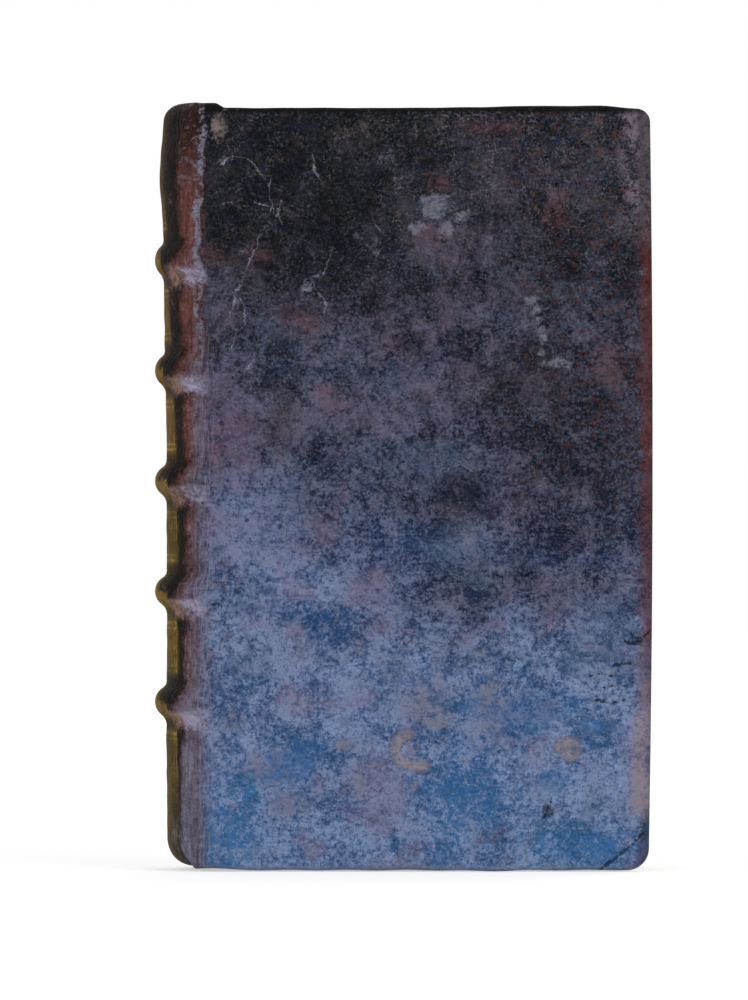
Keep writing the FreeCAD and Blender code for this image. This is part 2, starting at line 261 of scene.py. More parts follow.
# %% Section of a band
CREST_RADIUS = 3.6
HOLLOW_ABOVE = 1.8
HOLLOW_BELOW = 3.0
band_rise = panel_x - band_x


def band_share(z):
    """How much of a band's rise is reached at height z: the crest's circle, then the hollow's.

    The hollow's circle touches the panel and the crest's circle, so its centre lies
    sqrt((c + h)^2 - (h - s)^2) from the cord, where s is the cord's height above the panel.
    """
    stand = band_rise - CREST_RADIUS
    share = np.zeros_like(z)
    for height in band_heights:
        away = z - height
        hollow = np.where(away > 0, HOLLOW_ABOVE, HOLLOW_BELOW)
        run = np.sqrt((CREST_RADIUS + hollow) ** 2 - (hollow - stand) ** 2)
        meet = run * CREST_RADIUS / (CREST_RADIUS + hollow)
        gap = np.abs(away)
        crest = stand + np.sqrt(np.maximum(CREST_RADIUS**2 - gap**2, 0))
        side = hollow - np.sqrt(np.maximum(hollow**2 - (run - gap) ** 2, 0))
        rise = np.where(gap < meet, crest, np.where(gap < run, side, 0))
        share = np.maximum(share, rise / band_rise)
    return share


print("a band stands", round(band_rise, 2), "mm above the panels")

# %% [markdown]
# ## The leather as one surface
#
# The skin is described once, as a function of the plan's parameter and the height, and then cut into
# three pieces at the shoulders: the covers open, so their leather bends at the joint. The pieces take
# their points from the same functions, which keeps the cuts out of sight. The ends of the skin are
# turned over the edges, wide over the back, where they make the caps, and narrow along the boards.

# %% The skin over spine and joints
HEAD_SWELL = 1.5
LOW_SWELL = 0.7
BOARD_ROUND = 1.2
TAIL_ROUND = (5.6, 6.1)
HEAD_ROUND = (4.4, 3.8)
TAIL_FOOT = 0.9
FACE_ROWS = 400
head_top = spine_high[2]


def skin(q, z):
    """A point of the skin over back, shoulder and joint, on the front half.

    The head of the back stands further out than its foot, as a soft step at half height and a bump
    under the headcap, strongest in the middle of the back.
    """
    panel = panel_plan(q)
    band = band_plan(q)
    share = band_share(z)
    swell = LOW_SWELL * smooth_step(z, 85, 125)
    swell = swell + (HEAD_SWELL - LOW_SWELL) * np.exp(-(((z - 154) / 8) ** 2))
    uneven = 0.10 * waves(q * 14, z, 30, 9, 4) + 0.05 * waves(q * 14, z, 7, 9, 5)
    out = (swell + uneven) * (1 - smooth_step(q, 0.5, 1.6)) * (1 - share)
    return panel[0] + share * (band[0] - panel[0]) - out, panel[1] + share * (band[1] - panel[1])

# %% [markdown]
# ## Edges of the skin
#
# Foot and head of the leather aren't straight any more. The tail edge is rubbed on the shelf, and the
# head corner beside the cap is bruised. Gaussian dips and soft steps place these, waves roughen them.

# %% Edges of the skin
def foot_height(x):
    """The lower edge of the skin along a cover: worn into a slow wave, highest near the joint."""
    near_joint = 0.45 * np.exp(-(((x + 43) / 5) ** 2))
    return 0.33 + near_joint - 0.22 * np.exp(-(((x - 19) / 7) ** 2)) + 0.05 * waves(x, 0 * x, 9, 5, 11)


def head_height(x):
    """The upper edge of the skin along a cover, with the bruised corner beside the headcap."""
    corner = 1.1 * (1 - smooth_step(x, -41.6, -39.2))
    rise = 0.45 * smooth_step(x, 0, 36) - 0.7 * smooth_step(x, 44, 53)
    return cover_high[2] + corner + rise - 0.05 + 0.05 * waves(x, 0 * x + 9, 8, 5, 12)


def turned_edges(q):
    """Foot, head, and the reach inwards and upwards of both turned edges, at parameter q.

    All change by one smooth step, from the caps in the middle of the back to the seam.
    """
    t = smooth_step(q, 0.75, SEAM_Q)
    seam_x = panel_plan(np.array([SEAM_Q]))[0]
    foot = TAIL_FOOT + t * (foot_height(seam_x) - TAIL_FOOT)
    head = head_top + t * (head_height(seam_x) - head_top)
    tail = [size + t * (BOARD_ROUND - size) for size in TAIL_ROUND]
    top = [size + t * (BOARD_ROUND - size) for size in HEAD_ROUND]
    return foot, head, tail, top


def outward(x, y):
    """Unit vectors square to the plan, away from the leaves, from differences along the columns."""
    along_x, along_y = np.gradient(x, axis=1), np.gradient(y, axis=1)
    length = np.hypot(along_x, along_y)
    return along_y / length, -along_x / length


ends = foot_height(face_x), head_height(face_x)
print("foot and head at the joint:", np.round(ends, 2), "mm")

# %% [markdown]
# ## Spine leather
#
# The section of the spine's leather, cut from tail to head, is a closed loop: round the tailcap, up
# the outside, over the headcap and back down the inside. Each point of the loop is given by how far
# it lies inside the outer face and how high it is. Carrying the loop round the plan gives the whole
# piece, and its two ends are closed in the joints.

# %% Spine leather
SPINE_COLUMN = 0.34
LIP = 0.6
BAND_STEPS = np.array([5.0, 3.9, 2.6, 1.9, 1.5, 0.8, 0.0, -0.8, -1.5, -1.9, -3.0, -4.6, -6.0])
INNER_END_ROWS = 7
head_under = box_mm("head_endband_silk")[1][2] + 0.1


def spine_section(q):
    """Inset and height of the section's loop for each column of q, as two arrays (points, columns).

    Outside: a quarter ellipse, the straight face, a quarter ellipse and the lip. Inside: rows that
    follow the bands, at the leather's thickness.
    """
    foot, head, tail, top = turned_edges(q)
    turn = np.linspace(0, math.pi / 2, 18)[::-1, None]
    tail_inset = tail[0] * (1 - np.cos(turn))
    tail_height = foot + tail[1] * (1 - np.sin(turn))
    rows = np.linspace(0, 1, FACE_ROWS + 1)[1:-1, None]
    low, high = foot + tail[1], head - top[1]
    turn = np.linspace(0, math.pi / 2, 12)[:, None]
    head_inset = top[0] * (1 - np.cos(turn))
    head_rows = high + top[1] * np.sin(turn)
    lip = top[0] + LIP * (top[0] - BOARD_ROUND) / (HEAD_ROUND[0] - BOARD_ROUND) + 0.05
    under = head_under + 0.6 * smooth_step(q, 1.0, 1.7)
    cap_inset = np.stack([lip - 0.05, lip, lip - 0.1])
    cap_height = np.stack([head - 0.1, head - 0.4, under])
    thick = SPINE_LEATHER + 0 * q
    inner_rows = np.concatenate([height + BAND_STEPS for height in reversed(band_heights)])[:, None]
    share = (tail[0] - BOARD_ROUND) / (TAIL_ROUND[0] - BOARD_ROUND)
    low_edge = leaves_low[2] - 0.05
    foot_inset = np.stack([thick + step * share for step in (0, 0.35, 1.1, 2.6)] + [tail[0] - 0.05])
    foot_rows = np.stack([
        low_edge + 0 * q, low_edge - 0.35 * share, 3.2 - 0.6 * (1 - share), 2.35 + 0 * q, foot + 0.9,
    ])
    face_height = low + rows * (high - low)
    outside = [(tail_inset, tail_height), (0 * (rows + q), face_height), (head_inset, head_rows)]
    inside = [
        (cap_inset, cap_height), (thick[None], under[None]),
        (0 * (inner_rows + q) + thick, inner_rows + 0 * q), (foot_inset, foot_rows),
    ]
    inset, height = zip(*outside, *inside)
    return np.concatenate(inset), np.concatenate(height)

# %% [markdown]
# ## Shell of the spine's leather
#
# The loop is carried from one seam round the back to the other. Each point keeps its place on the
# unrolled skin as a layer, so the finish goes round the spine without a break.

# %% Shell of the spine's leather
def spine_skin():
    """The closed shell of the spine's leather: the section's loop carried round the plan."""
    half = q_between(0, SEAM_Q, SPINE_COLUMN)
    q = np.concatenate([half[:0:-1], half])
    side = np.concatenate([np.full(len(half) - 1, 1.0), np.full(len(half), -1.0)])
    inset, z = spine_section(q)
    x, y = skin(q + 0 * z, z)
    y = -side * y
    normal_x, normal_y = outward(x, y)
    points = np.stack([x - normal_x * inset, y - normal_y * inset, z], -1)
    rows, count = z.shape
    index = np.arange(rows * count).reshape(rows, count)
    ends = [index[:, 0].tolist(), index[::-1, -1].tolist()]
    place = np.stack([-side * along_skin(q) + 0 * z, z, inset], -1)
    inner_count = len(band_heights) * len(BAND_STEPS) + INNER_END_ROWS
    inner_row = (np.arange(rows) >= rows - inner_count)[:, None]
    inside = np.stack([inner_row + 0.0 * z, 0 * z, 0 * z], -1)
    faces = quads(np.vstack([index, index[:1]])) + ends
    layers = {"skin_mm": place.reshape(-1, 3), "inside": inside.reshape(-1, 3)}
    return new_piece("spine_calf", points.reshape(-1, 3), faces, **layers)


spine_calf = spine_skin()
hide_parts("spine_leather")
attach(spine_calf, "book_block")

# %% [markdown]
# ## Cover leather
#
# The leather of a cover is a face, an edge rolled over three sides of the board, and a turn-in glued
# down inside. The face is a square grid whose two outer corners are rounded by the square-to-disc
# map. Rings of points around it carry the section of the edge. Its inner side lies on the board.

# %% Outline of a cover
CORNER_HEAD = 3.0
CORNER_TAIL = 4.7
FORE_BOW = 0.9
COVER_LEATHER = 0.8
TURN_IN = 14.0
TURN_IN_LEATHER = 0.6
INNER_ROUND = 0.5
fore_x = cover_high[0]
inner_depth = cover_y + cover_high[1]


def rounded_corner(a, b):
    """Square-to-disc map of a corner: (a, b) goes to (a sqrt(1 - b^2 / 2), b sqrt(1 - a^2 / 2))."""
    a, b = np.clip(a, 0, 1), np.clip(b, 0, 1)
    return a * np.sqrt(1 - b**2 / 2), b * np.sqrt(1 - a**2 / 2)


def on_cover(u, v, inset):
    """Place in x and z of grid position (u, v), both 0 to 1, on a cover whose outline is inset.

    u runs from the joint to the fore edge, which bows outwards as a parabola, and v from the tail to
    the head. Both corners are rounded, less so the further the outline is inset.
    """
    x = face_x + u * (fore_x - inset - face_x)
    z = inset + v * (cover_high[2] - 2 * inset)
    for corner, high in ((CORNER_TAIL, False), (CORNER_HEAD, True)):
        radius = np.maximum(corner - inset, 0.3)
        edge_x = fore_x - inset - radius
        edge_z = cover_high[2] - inset - radius if high else inset + radius
        way = 1 if high else -1
        a, b = (x - edge_x) / radius, way * (z - edge_z) / radius
        a, b = rounded_corner(a, b)
        near = (x > edge_x) & (way * (z - edge_z) > 0)
        x, z = np.where(near, edge_x + a * radius, x), np.where(near, edge_z + way * b * radius, z)
    middle = cover_high[2] * 0.55
    bow = FORE_BOW * ((z - middle) / middle) ** 2
    x = x - bow * np.clip((x - face_x) / (fore_x - face_x), 0, 1)
    share = z / cover_high[2]
    z = z + (1 - share) * foot_height(x) + share * (head_height(x) - cover_high[2])
    return x, z


print("a cover is", round(inner_depth, 2), "mm deep with its leather inside and outside")

# %% [markdown]
# ## Marks of use on the front cover
#
# Cracks and scuffs have places of their own on this cover. A crack is a chain of short strokes. Each
# point of the skin keeps its distance to the nearest stroke, with a sign for its side, and the finish
# later draws a thin line where that distance passes through zero. A line drawn that way stays sharp
# between the points of the mesh. Scuffs and stains are soft ovals, kept as three strengths a point.

# %% Places of cracks and creases
PALE_CRACKS = [
    [(-31.3, 140.5), (-33.9, 135.0), (-35.5, 131.0), (-37.0, 127.2), (-37.9, 123.9)],
    [(-36.1, 126.6), (-34.8, 123.9), (-34.8, 121.3), (-37.0, 119.0), (-37.5, 115.4)],
    [(-15.8, 136.1), (-16.7, 133.6), (-19.0, 131.6), (-22.2, 129.4)],
    [(-19.6, 129.6), (-18.6, 127.4), (-16.9, 125.2), (-17.8, 122.0)],
    [(-40.1, 156.2), (-37.7, 158.6), (-33.9, 156.8), (-31.6, 154.4)],
    [(-38.2, 158.2), (-38.6, 159.6)],
    [(-29.2, 152.8), (-29.4, 149.6), (-29.0, 146.6)],
    [(-27.2, 147.6), (-27.6, 145.4), (-26.9, 143.6)],
    [(-39.8, 147.2), (-37.8, 147.7)],
    [(-32.8, 147.8), (-30.4, 147.0)],
    [(-32.8, 114.2), (-34.8, 110.2)],
    [(-6.4, 142.9), (-5.0, 141.2)],
    [(-25.6, 80.2), (-26.4, 73.0)],
    [(-1.9, 94.0), (1.2, 96.2)],
    [(29.5, 9.2), (28.6, 5.8)],
    [(27.3, 7.6), (27.0, 2.0)],
    [(42.6, 1.6), (47.4, 5.2), (52.6, 9.4)],
    [(-20.4, 158.6), (-19.8, 156.0), (-18.6, 153.4)],
    [(8.0, 88.2), (12.4, 90.6), (15.6, 87.8)],
    [(30.4, 51.6), (33.8, 55.2), (38.0, 54.0)],
]
DARK_CREASES = [
    [(32.8, 15.8), (31.6, 13.2), (30.9, 11.4)],
    [(49.6, 52.9), (51.8, 51.3), (53.4, 52.0), (55.0, 53.6)],
    [(43.4, 0.4), (48.0, 3.8), (53.0, 8.4)],
    [(2.2, 93.8), (4.2, 92.6)],
    [(41.0, 43.0), (43.5, 43.8), (46.0, 43.2)],
    [(44.0, 40.6), (47.4, 41.2)],
    [(42.6, 38.0), (45.6, 37.2), (49.0, 38.0)],
    [(46.4, 45.6), (50.0, 46.0)],
    [(52.4, 51.0), (50.6, 50.2), (49.0, 50.8)],
]
WELTS = [
    [(1.2, 30.2), (-1.3, 28.6), (-1.7, 26.4), (-0.5, 24.4), (2.0, 23.2), (4.4, 23.4)],
    [(34.6, 27.4), (35.2, 28.3), (36.3, 28.6), (37.4, 28.1), (37.9, 27.0), (37.3, 25.9), (36.2, 25.6)],
]
print(len(PALE_CRACKS), "cracks,", len(DARK_CREASES), "creases and", len(WELTS), "welts")

# %% [markdown]
# ## Scuffs, holes and stains
#
# Where something rubbed the cover, the film is gone and a pale scuff is left. Worms left small dark
# holes, and damp left brownish stains. Each is an oval: its middle, half its width and half its
# height, in millimetres.

# %% Places of scuffs, holes and stains
PALE_SCUFFS = [
    (7.4, 146.9, 3.0, 1.7), (3.2, 142.3, 1.5, 0.9), (9.2, 141.6, 1.2, 1.0), (13.4, 144.6, 1.4, 1.0),
    (28.4, 126.3, 1.1, 0.9), (29.6, 124.4, 0.9, 0.9), (30.3, 122.1, 0.9, 1.0), (30.8, 119.7, 0.8, 0.8),
    (31.0, 117.4, 0.9, 0.9), (30.6, 114.8, 0.8, 0.8), (33.4, 112.3, 2.4, 0.9),
    (-41.0, 164.4, 1.0, 2.0), (-13.0, 27.6, 2.4, 1.3),
    (-9.5, 21.0, 1.2, 3.6), (-21.6, 129.0, 1.3, 0.8), (3.0, 19.0, 0.9, 1.4), (16.4, 48.6, 0.9, 0.7),
    (19.0, 37.0, 2.6, 5.4), (6.0, 37.0, 4.4, 4.4), (19.6, 75.0, 0.8, 0.6),
]
DARK_SPOTS = [
    (-43.8, 81.2, 0.6, 0.5), (-41.7, 58.8, 0.6, 0.5), (-34.4, 77.9, 0.5, 0.4), (-26.7, 92.2, 0.6, 0.5),
    (-21.4, 65.2, 0.6, 0.5), (-16.6, 78.0, 1.4, 1.0), (14.8, 119.0, 1.0, 0.8), (31.8, 13.0, 1.0, 1.3),
    (1.6, 95.0, 1.4, 1.0), (-39.6, 99.2, 0.5, 0.5),
    (-22.5, 137.5, 1.0, 0.9), (51.6, 50.8, 1.2, 0.7), (-31.5, 134.0, 1.2, 1.0), (-2.5, 125.0, 1.0, 0.8),
    (-36.4, 112.0, 0.9, 0.7), (-20.0, 83.6, 0.6, 0.6), (-29.8, 131.0, 1.0, 0.8),
]
BROWN_SPOTS = [
    (18.4, 48.0, 0.8, 0.7), (2.6, 26.8, 1.4, 1.6), (7.0, 141.0, 3.2, 2.0),
    (-42.0, 136.2, 2.4, 2.4), (-31.0, 135.4, 3.0, 2.4), (-36.0, 99.0, 3.5, 2.4), (-41.0, 92.0, 2.5, 5.0),
    (-15.0, 103.0, 3.4, 2.2), (-17.5, 107.0, 2.2, 1.6), (-2.0, 116.0, 3.0, 2.4), (-23.0, 122.0, 4.0, 2.5),
    (20.0, 164.6, 7.0, 1.6), (-31.0, 22.0, 5.0, 3.0), (-26.0, 15.0, 4.0, 3.0), (-38.0, 34.0, 3.0, 3.0),
    (34.0, 146.0, 3.0, 4.0), (8.0, 152.0, 3.0, 2.0), (46.0, 112.0, 4.0, 5.0),
]
print(len(PALE_SCUFFS), "scuffs,", len(DARK_SPOTS), "holes and", len(BROWN_SPOTS), "stains")

# %% [markdown]
# ## Patches and clouds
#
# Larger ovals say where the cover is darker, paler or bluer than its height alone would make it.
# The patches have an edge that can be seen. The clouds only shift the tone, and have none.

# %% Places of patches and clouds
DARK_PATCHES = [
    (27.3, 34.4, 5.4, 4.0), (12.5, 84.0, 5.4, 4.2), (20.2, 79.7, 2.6, 1.8), (36.8, 133.0, 2.2, 1.6),
    (-25.5, 23.3, 4.6, 3.0), (33.0, 20.0, 3.6, 2.0), (43.0, 32.0, 4.4, 2.0), (16.0, 61.0, 3.4, 1.8),
]
DARK_CLOUDS = [
    (-22.0, 156.0, 24.0, 15.0), (39.0, 89.0, 20.0, 17.0), (12.0, 82.0, 10.0, 6.0),
    (-28.0, 142.0, 12.0, 9.0),
    (30.0, 62.0, 20.0, 5.0), (26.0, 107.0, 20.0, 8.0), (-27.0, 101.0, 4.0, 3.4),
]
PALE_CLOUDS = [
    (16.0, 156.0, 15.0, 9.0), (42.0, 156.0, 10.0, 9.0), (-33.0, 74.0, 10.0, 11.0), (-10.0, 108.0, 16.0, 8.0),
    (16.2, 37.5, 3.5, 5.5), (-4.5, 46.0, 3.0, 4.5), (5.5, 41.5, 6.0, 5.0), (-30.0, 20.0, 6.0, 5.0),
    (-8.0, 36.0, 9.0, 7.0), (40.0, 30.0, 8.0, 10.0), (6.0, 141.0, 12.0, 6.0), (-26.0, 66.0, 10.0, 8.0),
]
BLUE_CLOUDS = [
    (12.5, 84.0, 7.0, 5.0), (21.0, 79.0, 5.0, 3.0), (-2.0, 78.0, 6.0, 8.0), (-40.0, 14.0, 7.0, 12.0),
    (40.0, 6.0, 10.0, 4.0), (27.0, 36.0, 9.0, 5.0), (36.8, 133.0, 2.6, 2.2), (13.0, 115.0, 4.0, 3.0),
    (-25.0, 24.0, 5.0, 4.0), (14.0, 20.0, 10.0, 9.0), (44.0, 76.0, 12.0, 8.0), (38.0, 92.0, 12.0, 11.0),
    (-18.0, 55.0, 8.0, 3.0),
]
print(len(DARK_PATCHES), "patches,", len(DARK_CLOUDS + PALE_CLOUDS + BLUE_CLOUDS), "clouds")

# %% [markdown]
# ## From places to layers
#
# The mesh carries the marks as layers of numbers. Waves move the points a little before a distance
# is measured, so an oval gets the ragged outline of a real stain. The third number of the layer
# cracks is 1 on the front cover, which keeps its marks off the other pieces.

# %% Distances and strengths
def nearest_stroke(x, z, chains):
    """Signed and plain distance from (x, z) to the nearest stroke of some chains.

    The distance to a stroke is that to its nearest point, and its sign is the side of the stroke.
    """
    best, signed = np.full(x.shape, 1e3), np.full(x.shape, 1e3)
    for chain in chains:
        for (x0, z0), (x1, z1) in zip(chain, chain[1:]):
            run_x, run_z = x1 - x0, z1 - z0
            t = np.clip(((x - x0) * run_x + (z - z0) * run_z) / (run_x**2 + run_z**2), 0, 1)
            away = np.hypot(x - x0 - t * run_x, z - z0 - t * run_z)
            side = np.sign(run_x * (z - z0) - run_z * (x - x0))
            signed = np.where(away < best, side * away, signed)
            best = np.minimum(best, away)
    return signed, best


def ovals(x, z, spots):
    """Strength of the nearest oval: 1 at its middle, falling evenly to 0 at twice its size."""
    strength = np.zeros(x.shape)
    for spot_x, spot_z, wide, high in spots:
        reach = np.hypot((x - spot_x) / wide, (z - spot_z) / high)
        strength = np.maximum(strength, 1 - reach / 2)
    return np.clip(strength, 0, 1)


def three_strengths(x, z, *groups):
    """The strengths of three groups of ovals, as the three numbers of a layer."""
    return np.stack([ovals(x, z, spots) for spots in groups], -1)


def wandered(x, z, size, length, count, seed):
    """Points moved by waves of a size and a length in millimetres."""
    return x + size * waves(x, z, length, count, seed), z + size * waves(x, z, length, count, seed + 1)


def front_marks(points):
    """The layers that the calf finish reads on the front cover."""
    x, z = points[:, 0], points[:, 2]
    near = wandered(x, z, 0.3, 4, 7, 61)
    signed, best = nearest_stroke(*near, PALE_CRACKS)
    creases, welts = (nearest_stroke(x, z, chains)[1] for chains in (DARK_CREASES, WELTS))
    patches = ovals(*wandered(x, z, 0.7, 5, 9, 65), DARK_PATCHES)
    far = wandered(x, z, 2.0, 22, 7, 63)
    return {
        "cracks": np.stack([signed, best, np.ones_like(x)], -1),
        "folds": np.stack([creases, welts, patches], -1),
        "stains": three_strengths(*near, PALE_SCUFFS, DARK_SPOTS, BROWN_SPOTS),
        "clouds": three_strengths(*far, DARK_CLOUDS, PALE_CLOUDS, BLUE_CLOUDS),
    }

# %% [markdown]
# ## Shell of a cover's leather
#
# The face comes first, then one ring of points after another around it. At the joint the rings end
# in a strip without a board.

# %% A point of a cover's leather
SLIP_WIDTH = 3.2
BOARD_START = (-41, -35)
RELIEF_START = (-44.5, -42)
OUTER_DEPTH = 0.6


def cover_relief(x, z, seed):
    """How far a cover's leather stands proud of its plane, in millimetres, as a sum of slow waves.

    The laced slips show as low swellings under the leather beside the joint.
    """
    slow = 0.12 * waves(x, z, 45, 7, seed) + 0.05 * waves(x, z, 14, 9, seed + 1)
    slips = sum(np.exp(-(((z - height) / SLIP_WIDTH) ** 2)) for height in band_heights)
    return slow + 0.22 * slips * (1 - smooth_step(x, -41, -34)) - 0.08


def cover_point(q, u, v, inset, depth, side, seed):
    """A point of a cover's leather, and its place on the skin.

    In the strip at the joint it comes from the plan's parameter q, and on the board from the grid
    position (u, v). It lies inset in outline, and at a depth under the plain skin, along the normal,
    which is square to the step from a point just before it on the plan.
    """
    on_board = u > 0
    x_face, z = on_cover(u, v, inset)
    seam_foot, seam_head = turned_edges(q)[:2]
    t = np.clip((q - SEAM_Q) / (3 - SEAM_Q), 0, 1)
    low = seam_foot + t * (foot_height(face_x) - seam_foot) + inset
    high = seam_head + t * (head_height(face_x) - seam_head) - inset
    z = np.where(on_board, z, low + v * (high - low))
    x, y = skin(q, z)
    before_x, before_y = skin(np.maximum(q - 1e-3, 0), z)
    away = np.hypot(x - before_x, y - before_y) + 1e-9
    normal_x, normal_y = (y - before_y) / away, -(x - before_x) / away
    fade = 1 - smooth_step(x_face, *BOARD_START)
    y = np.where(on_board, -cover_y + (y + cover_y) * fade, y)
    normal_x, normal_y = np.where(on_board, 0, normal_x), np.where(on_board, -1, normal_y)
    x = np.where(on_board, x_face, x)
    proud = cover_relief(x, z, seed) * smooth_step(x, *RELIEF_START) * (depth < OUTER_DEPTH)
    point = np.stack([x + normal_x * (proud - depth), y + normal_y * (proud - depth), z], -1)
    along = np.where(on_board, cover_start + x_face - face_x, along_skin(q))
    return point, np.stack([side * along, z, depth + 0 * along], -1)

# %% [markdown]
# ## Rings and faces of a cover
#
# On the real cover the binder pares the leather, rolls it over the board's edge and glues it down
# inside. Here each ring of points has one inset and one depth, so a list of pairs describes that whole
# section. The strip at the joint has two sides of leather and no board between them.

# %% Rings and faces
def edge_sections(thick):
    """Inset and depth of the rings, as three lists: the outer round, the inner round and the rest.

    Both rounds are quarter circles. The rest is the turn-in, its raw edge, and the board's two faces.
    """
    outer_turns = np.linspace(0, math.pi / 2, 7)[1:]
    inner_turns = np.linspace(0, math.pi / 2, 4)
    outer = [
        (BOARD_ROUND * (1 - math.sin(turn)), BOARD_ROUND * (1 - math.cos(turn)) + 0 * thick)
        for turn in outer_turns
    ]
    inner = [
        (INNER_ROUND * (1 - math.cos(turn)), thick - INNER_ROUND * (1 - math.sin(turn)))
        for turn in inner_turns
    ]
    flat = [(inset, thick) for inset in (1.5, 5.0, 9.0, TURN_IN - 0.4)]
    raw_edge = [(TURN_IN, thick - 0.25), (TURN_IN, thick - TURN_IN_LEATHER)]
    board = [(COVER_LEATHER, thick - TURN_IN_LEATHER), (COVER_LEATHER, COVER_LEATHER + 0 * thick)]
    return outer, inner, flat + raw_edge + board


def cover_faces(index, rim, ring_count, split):
    """Faces of the grid and its rings, the strip's lining, and one face each to close board and end."""
    count = len(rim)
    ring_index = np.vstack([rim] + [np.arange(count) + index.size + k * count for k in range(ring_count)])
    last = ring_index[-1]
    back = last[::-1]
    lining = np.stack([last[:split - 1], last[1:split], back[1:split], back[:split - 1]], -1).tolist()
    under_board = last[split - 1:count - split + 1].tolist()
    end = index[:, 0].tolist() + ring_index[1:, -1].tolist() + ring_index[:0:-1, 0].tolist()
    return quads(index) + quads(ring_index) + lining + [under_board, end]

# %% [markdown]
# ## Both covers
#
# The two covers come from one function and differ by the sign of y, the fineness of their grid and
# the seed of their relief.

# %% Front and back cover
STRIP_COLUMN = 0.34


def cover_skin(name, side, column, seed):
    """Closed shell of one cover's leather. side is 1 for the front and -1 for the back."""
    strip = q_between(SEAM_Q, 3, STRIP_COLUMN)
    across = np.linspace(0, 1, int((fore_x - face_x) / column) + 1)[1:]
    q = np.concatenate([strip, np.full(len(across), 3.0)])
    u = np.concatenate([np.zeros(len(strip)), across])
    v = np.linspace(0, 1, FACE_ROWS + 1)
    face_q, face_v = np.meshgrid(q, v)
    face_u = np.meshgrid(u, v)[0]
    face = cover_point(face_q, face_u, face_v, BOARD_ROUND, 0.0, side, seed)
    index = np.arange(face_q.size).reshape(face_q.shape)
    rim = np.concatenate([index[0, :-1], index[:-1, -1], index[-1, ::-1]])
    rim_q, rim_u, rim_v = (values.ravel()[rim] for values in (face_q, face_u, face_v))
    no_board = 1 - smooth_step(rim_q + 3 * rim_u, 2.1, 2.75)
    thick = inner_depth - (inner_depth - COVER_LEATHER - TURN_IN_LEATHER - 0.05) * no_board
    outer, inner, rest = edge_sections(thick)
    sections = outer + inner + rest
    rings = [cover_point(rim_q, rim_u, rim_v, inset, depth, side, seed) for inset, depth in sections]
    points, skin_mm = (
        np.concatenate([face[part].reshape(-1, 3)] + [ring[part] for ring in rings]) for part in (0, 1)
    )
    points[:, 1] *= side
    ring_share = np.clip((np.arange(len(rings)) - len(outer)) / (len(inner) - 2), 0, 1)
    inner_share = np.concatenate([np.zeros(index.size), np.repeat(ring_share, len(rim))])
    layers = {"skin_mm": skin_mm, "inside": np.stack([inner_share, 0 * inner_share, 0 * inner_share], -1)}
    if side > 0:
        layers.update(front_marks(points))
    piece = new_piece(name, points, cover_faces(index, rim, len(rings), len(strip)), **layers)
    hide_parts(name.replace("calf", "cover_leather"))
    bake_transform(piece)
    return piece


front_calf = cover_skin("front_calf", 1, 0.6, 21)
back_calf = cover_skin("back_calf", -1, 1.0, 31)

# %% [markdown]
# ## The leaves
#
# The text block is one solid, but its edges show hundreds of leaves in folded gatherings. Each level
# of the block, from the front face to the back face, is an outline of the leaf at that level: tail,
# fore edge and head. Every level is set back a little by chance, and more between two gatherings.

# %% Text block
LEVELS = 241
GATHERINGS = 16
BLOCK_INSET = 1.2
FORE_HOLLOW = 3.3
LONG_STEPS = 40
RISE_STEPS = 42


def leaf_setback(level):
    """How far each level lies behind the trimmed edge: chance for the leaf, and a dip per gathering."""
    dice = np.random.default_rng(7)
    leaf = dice.uniform(0, 0.09, len(level))
    fold = (level * GATHERINGS / 2) % 1
    dip = 0.10 * np.exp(-((np.minimum(fold, 1 - fold) / 0.07) ** 2))
    return leaf + dip + 0.02


def leaf_ends(level, flat):
    """Where each level starts, on the arc of the rounded back, and ends, on that of the fore edge.

    An arc that is s deep over a half width w has the radius (w^2 + s^2) / 2s.
    """
    centre, large = panel_arc()
    back_x = centre - np.sqrt((large - BLOCK_INSET) ** 2 - (leaves_high[1] * level) ** 2)
    back_x = back_x + 0.35 * smooth_step(np.abs(level), 0.9, 1.0)
    hollow = (flat**2 + FORE_HOLLOW**2) / (2 * FORE_HOLLOW)
    front_x = leaves_high[0] - FORE_HOLLOW + hollow - np.sqrt(hollow**2 - (flat * level) ** 2)
    return back_x[:, None], front_x[:, None]


def text_leaves():
    """Closed block of leaves. Its parameters are the level across the thickness and the way round.

    Near the back each level bends outwards to the shoulder.
    """
    level = np.linspace(-1, 1, LEVELS)
    half, flat = leaves_high[1], -endpaper_high[1]
    back_x, front_x = leaf_ends(level, flat)
    set_back = leaf_setback(level)[:, None]
    level = level[:, None]
    long_x = back_x + np.linspace(0, 1, LONG_STEPS) ** 1.6 * (front_x - back_x)
    bend = 1 - smooth_step(long_x, back_x, back_x + 0.5 + 5 * (1 - np.abs(level)))
    long_y = level * (flat + (half - flat) * bend)
    low, high = leaves_low[2], leaves_high[2]
    trimmed_x = np.minimum(long_x, front_x - set_back)
    fore_z = low + np.linspace(0, 1, RISE_STEPS)[1:-1] * (high - low) + 0 * front_x
    tail = np.stack([trimmed_x, long_y, low + set_back + 0 * long_x], -1)
    fore = np.stack([front_x - set_back + 0 * fore_z, flat * level + 0 * fore_z, fore_z], -1)
    head = np.stack([trimmed_x, long_y, high - set_back + 0 * long_x], -1)[:, ::-1]
    points = np.concatenate([tail, fore, head], axis=1)
    return new_piece("text_leaves", points.reshape(-1, 3), tube_faces(*points.shape[:2]))


text_leaves_piece = text_leaves()
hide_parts("text_block")
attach(text_leaves_piece, "book_block")

# %% [markdown]
# ## Endbands
#
# An endband is a thin cord over which silk is wound, in two colours by turns. The wound surface is a
# tube along the arc of the back, whose radius swells once for every turn of the silk.

